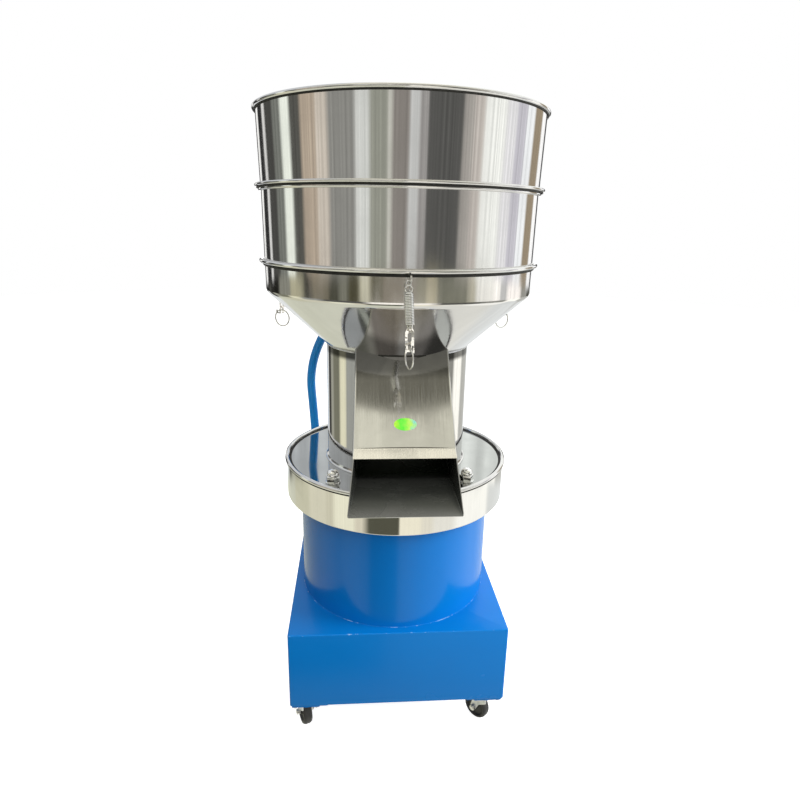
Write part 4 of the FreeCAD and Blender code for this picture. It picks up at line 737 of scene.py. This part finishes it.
# sieve ring: wall curled at its head, flared and curled at its foot
sieve = {"sheet": 0.0015, "headCurl": (0.2905, 1.1915), "footCurl": (0.2935, 1.0515),
         "footLow": 1.04825, "wall": [(0.2888, 1.04825), (0.28705, 1.0492), (0.28632, 1.0508),
                                      (0.28628, 1.0535), (0.28775, 1.1915)],
         "hoop": (0.2807, 0.2854, 1.058, 1.0659), "hoopRound": 0.0007}


def buildSieve():
    foot = (sieve["footCurl"][0], sieve["footLow"])
    wall = [foot, *sieve["wall"], (*sieve["headCurl"], *curl["head"])]
    bm = spun([foot, (*sieve["footCurl"], *curl["foot"])], wall, steps=224)
    makePiece("sieveWall", bm, "sieve_frame", sieveSteel, "sieve_ring", 50,
              sieve["sheet"])
    makePiece("hoopBand", spunBand(*sieve["hoop"], sieve["hoopRound"], 160), "sieve_frame",
              rimSteel, "mesh_hoop")


# two layers of crossing wires, trimmed by the hoop
weave = {"pitch": 0.0032, "wire": 0.0005, "height": 1.0665, "reach": 0.2848, "shortest": 0.04}


def buildWeave():
    bm = bmesh.new()
    wire, reach = weave["wire"], weave["reach"]
    count = int(2 * reach / weave["pitch"])
    for layer in (0, 1):
        for index in range(count + 1):
            across = -reach + (index + 0.5) * weave["pitch"]
            long = 2 * math.sqrt(max(0.0, reach ** 2 - across ** 2))
            if long < weave["shortest"]:
                continue
            height = weave["height"] + (layer - 0.5) * wire
            addBar(bm, turnBy(90 * layer) @ shift(across, 0, height), (wire, long, wire))
    makePiece("meshWeave", bm, "sieve_frame", meshSteel, "mesh", 60)


buildHopper()
buildSieve()
buildWeave()
print("hopper and sieve rings built")


# funnel: collar, knuckle and cone, with a bead under the rim at its head, painted dark as shade
funnel = {"sheet": 0.0015, "foot": (0.15825, 0.8725), "knuckle": (0.28495, 0.9893),
          "head": (0.28575, 1.0462), "bead": (0.2877, 1.0442, 0.0028), "knuckleRound": 0.005,
          "hold": 0.0075}


def buildFunnel():
    bm = bmesh.new()
    trace(bm, funnel["foot"], [funnel["knuckle"], funnel["head"]], funnel["hold"])
    radius, height = funnel["knuckle"]
    corner = min(bm.verts, key=lambda vert: (vert.co - Vector((radius, 0, height))).length)
    roundPoints(bm, [corner], funnel["knuckleRound"], 6)
    spinAll(bm, 224)
    makePiece("funnelShell", bm, "shaker", funnelSteel, "funnel", 50,
              funnel["sheet"])
    bm = bmesh.new()
    addBead(bm, *funnel["bead"], 20, 224)
    # painted shade: the bead is dark as the shadowed gap under the rim
    makePiece("funnelBead", bm, "shaker", creaseShade)


# duct shape: half width, distance to the front and height of each corner
chute = {"sheet": 0.0015, "roofBack": (0.0928, 0.100, 0.9478), "floorBack": (0.0928, 0.100, 0.7238),
         "floorBend": (0.0952, 0.245, 0.6413), "fold": (0.1000, 0.262, 0.7130),
         "brow": (0.1003, 0.2786, 0.7004), "lip": (0.1107, 0.3243, 0.5973), "foldRound": 0.0025,
         "support": 0.0012, "flatArea": 0.0006,  # rings that keep the big faces' reflections flat
         "room": [(0.15905, 0.58), (0.15905, 0.8725), (0.2855, 0.9888), (0.2855, 1.02)]}


def ductCorners(bm, grow=0.0):
    verts = {}
    for name in ("roofBack", "floorBack", "floorBend", "fold", "brow", "lip"):
        half, out, height = chute[name]
        for side, sign in (("L", -1), ("R", 1)):
            verts[name + side] = bm.verts.new((sign * (half + grow), -out, height))
    return verts


def buildChute():
    bm = bmesh.new()
    at = ductCorners(bm)

    def sheet(*corners):
        return bm.faces.new([at[corner] for corner in corners])

    for side in "LR":
        sheet(*[word + side for word in ("roofBack", "floorBack", "floorBend", "brow", "fold")])
        sheet(*[word + side for word in ("brow", "floorBend", "lip")])
    sheet("roofBackL", "roofBackR", "foldR", "foldL")
    # the brow face takes the lighter copy, a painted highlight
    sheet("foldL", "foldR", "browR", "browL").material_index = 1
    sheet("floorBackL", "floorBendL", "floorBendR", "floorBackR")
    sheet("floorBendL", "lipL", "lipR", "floorBendR")
    bmesh.ops.recalc_face_normals(bm, faces=bm.faces[:])
    roundEdges(bm, [edge for edge in bm.edges if len(edge.link_faces) == 2], chute["foldRound"], 4)
    flats = [face for face in bm.faces if face.calc_area() > chute["flatArea"]]
    bmesh.ops.inset_individual(bm, faces=flats, thickness=chute["support"], use_even_offset=True)
    piece = makePiece("chuteDuct", bm, "shaker", chuteSteel, "chute", 28,
                      chute["sheet"], inner=(browLitSteel, chuteInside))
    room = bmesh.new()  # what the neck and the funnel take of it
    low, high = chute["room"][0][1], chute["room"][-1][1]
    first, last = trace(room, (0.0, low), [*chute["room"], (0.0, high)])
    room.edges.new((last, first))
    spinAll(room, 160)
    bmesh.ops.remove_doubles(room, verts=room.verts[:], dist=1e-5)
    carve(piece, room, 28)


# neck: tube with a foot ring, open towards the chute
neck = {"sheet": 0.0015, "radius": 0.15825, "foot": 0.6021, "head": 0.8725,
        # foot ring: radius and rise of each point
        "flare": [(0.1638, 0.0008), (0.1612, 0.0009), (0.1597, 0.0022), (0.15865, 0.005),
                  (0.15825, 0.009)],
        "doorHead": 0.8655, "doorTop": (0.0915, 0.1545), "doorInset": 0.0016, "doorDrop": 0.004}


def buildNeck():
    wall = [(radius, neck["foot"] + rise) for radius, rise in neck["flare"]]
    wall.append((neck["radius"], neck["head"]))
    piece = makePiece("neckTube", spun(wall), "shaker", neckSteel, "neck", 45,
                      neck["sheet"])
    cutter = bmesh.new()
    at = ductCorners(cutter, -neck["doorInset"])
    half, out = neck["doorTop"]
    for side, sign in (("L", -1), ("R", 1)):
        at["roofBack" + side].co.z = neck["doorHead"]
        at["fold" + side].co.z -= neck["doorDrop"]
        cutter.verts.new((sign * half, -out, neck["doorHead"]))
    bmesh.ops.convex_hull(cutter, input=cutter.verts[:])
    carve(piece, cutter, 45)


# weld lines: a thin bead round the neck's head, and rods down the backs of the walls,
# each with its foot and head as (radius, height) and its place in degrees
weld = {"wire": 0.0011, "round": (0.1592, 0.8722, 0.0015), "lines": {
    "funnelWelds": ("shaker", weldSteel, [
        ((0.15895, 0.612), (0.15895, 0.871), 98.0), ((0.2857, 0.992), (0.2864, 1.038), 82.0),
        ((0.1605, 0.8745), (0.2845, 0.9883), 82.0)]),
    "sieveWeld": ("sieve_frame", zincSteel, [((0.2871, 1.0545), (0.2885, 1.187), 107.6)]),
    "hopperWeld": ("hopper", zincSteel, [((0.2896, 1.1985), (0.2938, 1.3365), 72.4)])}}


def buildWelds():
    for name, (body, finish, rods) in weld["lines"].items():
        bm = bmesh.new()
        if name == "funnelWelds":
            addBead(bm, *weld["round"], 10)
        for low, high, turn in rods:
            addUpright(bm, low, high, turn, weld["wire"])
        makePiece(name, bm, body, finish, None, 60)


# dark rings painted as shade in the gaps under the beads: body, radius, height and wire
creases = {"hopperCrease": ("hopper", 0.2951, 1.3374, 0.0016),
           "sieveCrease": ("sieve_frame", 0.2956, 1.1949, 0.0021),
           "funnelCrease": ("shaker", 0.2896, 1.046, 0.0022),
           "capCrease": ("shaker", 0.2558, 0.5989, 0.0013)}
capGroove = {"inside": 0.2448, "outside": 0.2503, "height": 0.6023}  # painted shade: a dark flat ring between plate and bead


def buildCreases():
    for name, (body, *bead) in creases.items():
        bm = bmesh.new()
        addBead(bm, *bead, 8)
        if name == "capCrease":
            flat = [bm.verts.new((capGroove[word], 0, capGroove["height"]))
                    for word in ("inside", "outside")]
            sweep(bm, flat + [bm.edges.new(flat)], 192)
        makePiece(name, bm, body, creaseShade, None, 60)


buildFunnel()
buildChute()
buildNeck()
buildWelds()
buildCreases()
print("funnel, neck and chute built")


# cap: mirror plate inside a beaded skirt
cap = {"plate": (0.2538, 0.598, 0.602), "sheet": 0.0015, "bead": (0.25475, 0.605, 0.00475),
       "skirt": [(0.25385, 0.5197), (0.25475, 0.5207), (0.25475, 0.6008)]}


def buildCap():
    radius, low, high = cap["plate"]
    plate = [(0.0, low), (radius, low), (radius, high), (0.0, high)]
    makePiece("capMirror", spun(plate), "shaker", capSteel, "cap_plate")
    makePiece("capBand", spun(cap["skirt"], steps=224), "shaker", skirtSteel,
              "cap_skirt", 50, cap["sheet"])
    bm = bmesh.new()
    addBead(bm, *cap["bead"], 24, 224)
    makePiece("capBead", bm, "shaker", rimSteel)


# dome nuts on washers, one over each support spring
nut = {"at": (0.14257, 0.16991), "corner": 0.0137, "foot": 0.6051, "tall": 0.011, "grow": 1.14,
       "dome": [(0.0108, 0.0), (0.0112, 0.0012), (0.0111, 0.0048), (0.0102, 0.0082),
                (0.0080, 0.0107), (0.0045, 0.0123), (0.0, 0.0128)],
       "round": 0.0009, "sink": 0.001, "firstTurn": 8, "turnStep": 17,
       "washer": (0.0082, 0.016, 0.6021, 0.6049), "washerRound": 0.0006}


def nutShape():
    bm = bmesh.new()
    stand = shift(0, 0, nut["foot"] + nut["tall"] / 2)
    addRound(bm, nut["corner"], nut["corner"], nut["tall"], 6, stand)
    roundEdges(bm, bm.edges[:], nut["round"], 3)
    base = nut["foot"] + nut["tall"] - nut["sink"]
    addTo(bm, spun([(radius, base + rise) for radius, rise in nut["dome"]], steps=40))
    foot = shift(0, 0, nut["foot"])
    moveAll(bm, foot @ Matrix.Scale(nut["grow"], 4) @ foot.inverted())
    return bm


def washerShape():
    return spunBand(*nut["washer"], nut["washerRound"], 48)


def buildNuts():
    for word, shape, node in (("domeNut", nutShape, "dome_nuts"),
                              ("washerDisc", washerShape, "washers")):
        whole = bmesh.new()
        for index, (sx, sy) in enumerate(((-1, -1), (1, -1), (-1, 1), (1, 1))):
            one = shape()
            spot = shift(sx * nut["at"][0], sy * nut["at"][1], 0)
            turn = nut["firstTurn"] + nut["turnStep"] * index  # no two stand alike
            moveAll(one, spot @ turnBy(turn))
            addTo(whole, one)
        makePiece(word, whole, "shaker", nutSteel, node, 30)


buildCap()
buildNuts()
print("cap built")


# drum and cabinet in blue enamel
drum = {"middle": 0.22155, "sheet": 0.0025, "foot": 0.2762, "flange": 0.538, "reach": 0.2469,
        "inside": 0.2003, "bend": 0.006, "bendMiddle": (0.0015, 0.0022),
        "footWeld": (0.223, 0.2763, 0.0012), "seam": (0.2226, 0.279, 0.53, 96, 0.0012)}
cabinet = {"half": 0.242, "low": 0.090, "high": 0.276, "sheet": 0.002, "corner": 0.003,
           "fold": 0.0016, "lip": 0.022, "vent": (0.15, 0.05)}


def buildDrum():
    middle, flange, bend = drum["middle"], drum["flange"], drum["bend"]
    out, down = drum["bendMiddle"]
    wall = [(middle, drum["foot"]), (middle, flange - bend), (middle + out, flange - down),
            (middle + bend, flange), (drum["reach"], flange)]
    bm = spun(wall, [(drum["inside"], flange), (middle + bend, flange)])
    makePiece("drumShell", bm, "base", drumPaint, "drum", 45, drum["sheet"])
    bm = bmesh.new()
    addBead(bm, *drum["footWeld"], 8)
    radius, low, high, turn, wire = drum["seam"]
    addUpright(bm, (radius, low), (radius, high), turn, wire)
    makePiece("drumWelds", bm, "base", drumPaint, None, 60)


def buildCabinet():
    wide = 2 * cabinet["half"] - cabinet["sheet"]
    tall = cabinet["high"] - cabinet["low"] - cabinet["sheet"]
    middle = shift(0, 0, (cabinet["high"] + cabinet["low"]) / 2)
    bm = bmesh.new()
    addBar(bm, middle, (wide, wide, tall))
    bottom = [face for face in bm.faces if face.normal.z < -0.9]
    bmesh.ops.inset_region(bm, faces=bottom, thickness=cabinet["lip"], use_even_offset=True)
    bmesh.ops.delete(bm, geom=bottom, context="FACES_ONLY")
    upright = [edge for edge in bm.edges if abs(edge.verts[0].co.z - edge.verts[1].co.z) > 0.05]
    roundEdges(bm, upright, cabinet["corner"], 5)
    level = [edge for edge in bm.edges if len(edge.link_faces) == 2
             and abs(edge.link_faces[0].normal.z - edge.link_faces[1].normal.z) > 0.8]
    roundEdges(bm, level, cabinet["fold"], 4)
    piece = makePiece("cabinetShell", bm, "base", cabinetPaint, "base_cabinet", 30,
                      cabinet["sheet"])
    vent = bmesh.new()
    radius, deep = cabinet["vent"]
    addRound(vent, radius, radius, deep, 96, shift(0, 0, cabinet["high"]))
    carve(piece, vent, 30)


buildDrum()
buildCabinet()
print("drum and cabinet built")


# spring clamps hung at the front and at two sides
clamp = {"reach": 0.306, "sides": {"front": 0.0, "left": -117.0, "right": 117.0},
         "wire": 0.00125, "coil": 0.0071, "low": 0.9603, "high": 1.0153, "turns": 19, "steps": 14,
         "lean": 3.0, "eyes": [(0.0042, 1.03385, 0.0008), (0.0062, 1.0236, 0.0011)],
         "ends": [(0.0058, 0.0008), (0.0038, 0.002)], "stem": 0.0052,
         "ring": (0.0195, 0.0015, 0.9015), "twist": 16.0}


def clampPlace(side):
    return turnBy(clamp["sides"][side]) @ shift(0, -clamp["reach"], 0)


def clampLean(side):  # the front spring hangs a little askew
    foot = shift(0, 0, clamp["low"])
    return foot @ turnBy(-clamp["lean"] if side == "front" else 0.0, "Y") @ foot.inverted()


def buildCoil(side):
    bm = bmesh.new()
    wire = clamp["wire"]
    section = wireSection(bm, clamp["coil"], clamp["low"] + wire, wire, 8)
    steps = clamp["turns"] * clamp["steps"]
    rise = (clamp["high"] - clamp["low"] - 2 * wire) / steps
    sweep(bm, section, steps, clamp["turns"], rise)
    bmesh.ops.holes_fill(bm, edges=bm.edges[:], sides=0)
    for radius, height, thin in clamp["eyes"]:  # hanging loop, and the big eye under it
        eye = bmesh.new()
        addBead(eye, radius, 0.0, thin, 10, 40)
        moveAll(eye, shift(0, 0, height) @ turnBy(90, "X"))
        addTo(bm, eye)
    for radius, above in clamp["ends"]:  # the last turns close in over the stem
        addBead(bm, radius, clamp["high"] + above, wire, 8, 28)
    moveAll(bm, clampPlace(side) @ clampLean(side))
    makePiece("clampCoil" + side.capitalize(), bm, "clamp_" + side, wireSteel,
              "clamp_spring_" + side, 60)


def buildStem(side):  # guide stem seen between the turns
    bm = bmesh.new()
    addUpright(bm, (0.0, clamp["low"] + 0.0006), (0.0, clamp["high"] - 0.0006), 0, clamp["stem"])
    moveAll(bm, clampPlace(side) @ clampLean(side))
    makePiece("clampStem" + side.capitalize(), bm, "clamp_" + side, castIron,
              None, 60)


def buildPullRing(side):
    bm = bmesh.new()
    mean, wire, height = clamp["ring"]
    addBead(bm, mean, 0.0, wire, 14, 72)
    twist = turnBy(clamp["twist"] if side == "front" else 0.0)
    moveAll(bm, clampPlace(side) @ shift(0, 0, height) @ twist @ turnBy(90, "Y"))
    makePiece("pullLoop" + side.capitalize(), bm, "ring_" + side,
              hookSteel if side == "right" else brightSteel, "pull_ring_" + side, 60)


for sideName in clamp["sides"]:
    buildCoil(sideName)
    buildStem(sideName)
    softCopy("clamp_hook_" + sideName, "hookPlate" + sideName.capitalize(), "hook_" + sideName,
             hookSteel, 0.0007, 3)
    buildPullRing(sideName)
softCopy("clamp_lugs", "lugPlates", "shaker", plateSteel, 0.0004, 2)
print("clamps built")


# air hose from the cabinet to the cone
hose = {"turn": 46.6, "bore": 0.022, "length": 0.645,
        "route": [(0.266, 0.286), (0.266, 0.436), (0.278, 0.606), (0.2989, 0.79662),
                  (0.20377, 0.90008)]}


def buildHose():
    turn = math.radians(hose["turn"])
    away = Vector((-math.sin(turn), math.cos(turn), 0))
    points = [away * radius + Vector((0, 0, height)) for radius, height in hose["route"]]
    curve = bpy.data.curves.new("airHose", "CURVE")
    curve.dimensions = "3D"
    spline = curve.splines.new("NURBS")
    spline.points.add(len(points) - 1)
    for point, place in zip(spline.points, points):
        point.co = (*place, 1.0)
    spline.order_u = 3
    spline.use_endpoint_u = True
    curve.resolution_u = 24
    curve.bevel_depth = hose["bore"] / 2
    curve.bevel_resolution = 8
    curve.use_fill_caps = True
    curve.materials.append(hosePlastic)
    piece = bpy.data.objects.new("airHose", curve)
    scene.collection.objects.link(piece)
    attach(piece, "base")
    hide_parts("hose")


buildHose()
for nodeName, pieceName, bodyName in (("hose_clamp_low", "hoseBandLow", "base"),
                                      ("hose_clamp_high", "hoseBandHigh", "shaker")):
    softCopy(nodeName, pieceName, bodyName, zincSteel, 0.0003, 2)
print("hose laid")


# casters: pressed fork, hard rubber wheel, axle bolt
caster = {"inset": 0.207, "trail": 0.020, "axle": 0.031,
          "swing": {"front_left": (-1, -1, 20), "front_right": (1, -1, 40),
                    "rear_left": (-1, 1, -35), "rear_right": (1, 1, 12)},
          # half of the wheel's outline: radius and distance from its middle
          "wheel": [(0.0042, 0.0119), (0.0080, 0.0119), (0.0086, 0.0062), (0.0222, 0.0056),
                    (0.0238, 0.0099), (0.0272, 0.0105), (0.0298, 0.0077), (0.031, 0.0043)],
          "wheelRound": 0.0007, "gap": 0.0125, "sheet": 0.0025, "cheekRound": 0.004,
          "cheek": [(-0.0145, 0.0724), (0.0165, 0.0724), (0.0278, 0.0345), (0.0262, 0.0252),
                    (0.0200, 0.0236), (0.0148, 0.0252), (0.0050, 0.0470), (-0.0145, 0.0615)],
          "crown": (0.031, 0.001, 0.0723), "disc": (0.0198, 0.0192, 0.0018, 0.0727)}


def casterPlace(corner):
    sideX, sideY, swing = caster["swing"][corner]
    spot = shift(sideX * caster["inset"], sideY * caster["inset"], 0)
    return spot @ turnBy(swing)


def camel(corner):
    return "".join(word.capitalize() for word in corner.split("_"))


def buildWheel(corner):
    bm = bmesh.new()
    half = caster["wheel"]
    loop(bm, half + [(radius, -height) for radius, height in reversed(half)],
         caster["wheelRound"], 2)
    spinAll(bm, 72)
    axle = shift(0, caster["trail"], caster["axle"]) @ turnBy(90, "Y")
    moveAll(bm, casterPlace(corner) @ axle)
    makePiece("wheelDisc" + camel(corner), bm, "wheel_" + corner, tyreRubber,
              "caster_wheel_" + corner, 40)


def addCheek(bm, sign):
    cheek = bmesh.new()
    cheek.faces.new([cheek.verts.new((sign * caster["gap"], y, z)) for y, z in caster["cheek"]])
    roundPoints(cheek, cheek.verts[2:7], caster["cheekRound"], 4)
    made = bmesh.ops.extrude_face_region(cheek, geom=cheek.faces[:])
    moved = [item for item in made["geom"] if isinstance(item, bmesh.types.BMVert)]
    bmesh.ops.translate(cheek, verts=moved, vec=(sign * caster["sheet"], 0, 0))
    addTo(bm, cheek)


def buildFork(corner):
    bm = bmesh.new()
    for sign in (-1, 1):
        addCheek(bm, sign)
    deep, out, height = caster["crown"]
    addBar(bm, shift(0, out, height),
           (2 * (caster["gap"] + caster["sheet"]), deep, caster["sheet"]))
    disc = bmesh.new()
    low, high, tall, height = caster["disc"]
    addRound(disc, low, high, tall, 48, shift(0, 0, height))
    moveAll(disc, casterPlace(corner))
    makePiece("forkCrown" + camel(corner), disc, "fork_" + corner, cabinetPaint)
    moveAll(bm, casterPlace(corner))
    piece = makePiece("forkShell" + camel(corner), bm, "fork_" + corner, zincSteel,
                      "caster_fork_" + corner)
    roundRim(piece, 0.0006, 2, 40)


for cornerName in caster["swing"]:
    buildWheel(cornerName)
    buildFork(cornerName)
    softCopy("caster_axle_" + cornerName, "axleBolt" + camel(cornerName), "fork_" + cornerName,
             brightSteel, 0.0008, 3)
softCopy("caster_mounts", "casterHeads", "base", cabinetPaint, 0.0006, 2)
softCopy("caster_bolts", "casterScrews", "base", brightSteel, 0.001, 3)
print("casters built")


# switch box and knob on the back of the cabinet
switch = {"x": 0.12, "z": 0.186, "face": 0.284, "screwHalf": (0.028, 0.039),
          "screw": (0.0032, 0.0026, 0.0016), "dial": 0.0205, "ticks": 9, "firstTick": -60,
          "tickStep": 15, "tickSize": (0.0006, 0.0002), "tickShort": 0.0026, "tickLong": 0.004,
          "knobLine": (0.0204, 0.009), "lineSize": (0.0011, 0.0002, 0.009)}


def buildSwitchDetails():
    bm = bmesh.new()
    for sx in (-1, 1):
        for sz in (-1, 1):
            spot = shift(switch["x"] + sx * switch["screwHalf"][0], switch["face"] - 0.0002,
                         switch["z"] + sz * switch["screwHalf"][1])
            addRound(bm, *switch["screw"], 24, spot @ turnBy(-90, "X"))
    makePiece("switchScrews", bm, "base", brightSteel)
    bm = bmesh.new()
    middle = shift(switch["x"], switch["face"] + 0.0001, switch["z"])
    for index in range(switch["ticks"]):  # plain tick marks round the dial
        turn = turnBy(switch["firstTick"] + index * switch["tickStep"], "Y")
        tall = switch["tickShort" if index % 4 else "tickLong"]
        addBar(bm, middle @ turn @ shift(0, 0, switch["dial"]), (*switch["tickSize"], tall))
    makePiece("dialTicks", bm, "base", whiteMark)
    bm = bmesh.new()
    out, up = switch["knobLine"]
    addBar(bm, shift(switch["x"], switch["face"] + out, switch["z"] + up), switch["lineSize"])
    makePiece("knobLine", bm, "knob", whiteMark)


softCopy("switch_box", "switchCase", "base", blackPlastic, 0.0012, 3)
softCopy("switch_knob", "switchDial", "knob", blackPlastic, 0.0014, 3)
buildSwitchDetails()
print("switch built")


# plain oval label on the chute roof
label = {"at": (0.0024, -0.23543, 0.75312), "half": (0.0226, 0.0128), "thick": 0.0002,
         "facing": (0, -1.45, 1.0), "tones": [
             (0, (0.5, 0.85, 0.06)), (0.35, (0.1, 0.85, 0.05)), (0.68, (0.5, 0.88, 0.12)),
             (1, (0.25, 0.7, 0.62))]}


def labelFoil():
    material, tree, shader = newMaterial("green label foil", {"Roughness": 0.28, "Metallic": 0.35})
    middle, half = label["at"][0], label["half"][0]
    across = spread(tree, axesOf(tree)[0], middle - half, middle + half, 0, 1)
    uneven = spread(tree, cloud(tree, (90, 90, 90), 1.0, 2, 0.5), 0, 1, -0.35, 0.35)
    tone = toneRamp(tree, sums(tree, "ADD", across, uneven), label["tones"])
    plug(tree, tone, shader, "Base Color")
    plug(tree, relief(tree, cloud(tree, (500, 500, 500)), 1.0, 0.00001), shader, "Normal")
    return material


def buildLabel():
    bm = bmesh.new()
    slope = Vector(label["facing"]).normalized().to_track_quat("Z", "X").to_matrix().to_4x4()
    size = Matrix.Diagonal((label["half"][1], label["half"][0], 1, 1))
    bmesh.ops.create_circle(bm, cap_ends=True, segments=64, radius=1.0,
                            matrix=Matrix.Translation(label["at"]) @ slope @ size)
    foil = makePiece("ovalLabel", bm, "shaker", labelFoil(), None, 35,
                     label["thick"], 1.0, outward=False)
    foil.visible_glossy = False


buildLabel()
print("label laid")


# plain parts that keep their solids, each with its own finish
dressed = {
    "gasket": siliconeStrip, "deflector": plateSteel, "studs": brightSteel,
    "spring_seats_low": zincSteel, "spring_seats_high": zincSteel, "support_springs": springSteel,
    "corner_plates": cabinetPaint, "motor_bracket": motorPaint, "motor_housing": motorPaint,
    "motor_bell_low": motorPaint, "motor_bell_high": motorPaint, "motor_bearings": plateSteel,
    "motor_bolts": brightSteel, "motor_shaft": plateSteel, "weight_high": castIron,
    "weight_low": castIron, "hose_spigot_low": plateSteel, "hose_spigot_high": plateSteel,
}
for nodeName, finish in dressed.items():
    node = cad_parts[nodeName]
    node.data.materials.clear()
    node.data.materials.append(finish)
print("plain parts dressed")

shown = [name for name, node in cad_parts.items() if not node.hide_render]
print("plain solids left showing:", len(shown), sorted(set(shown) - set(dressed)))
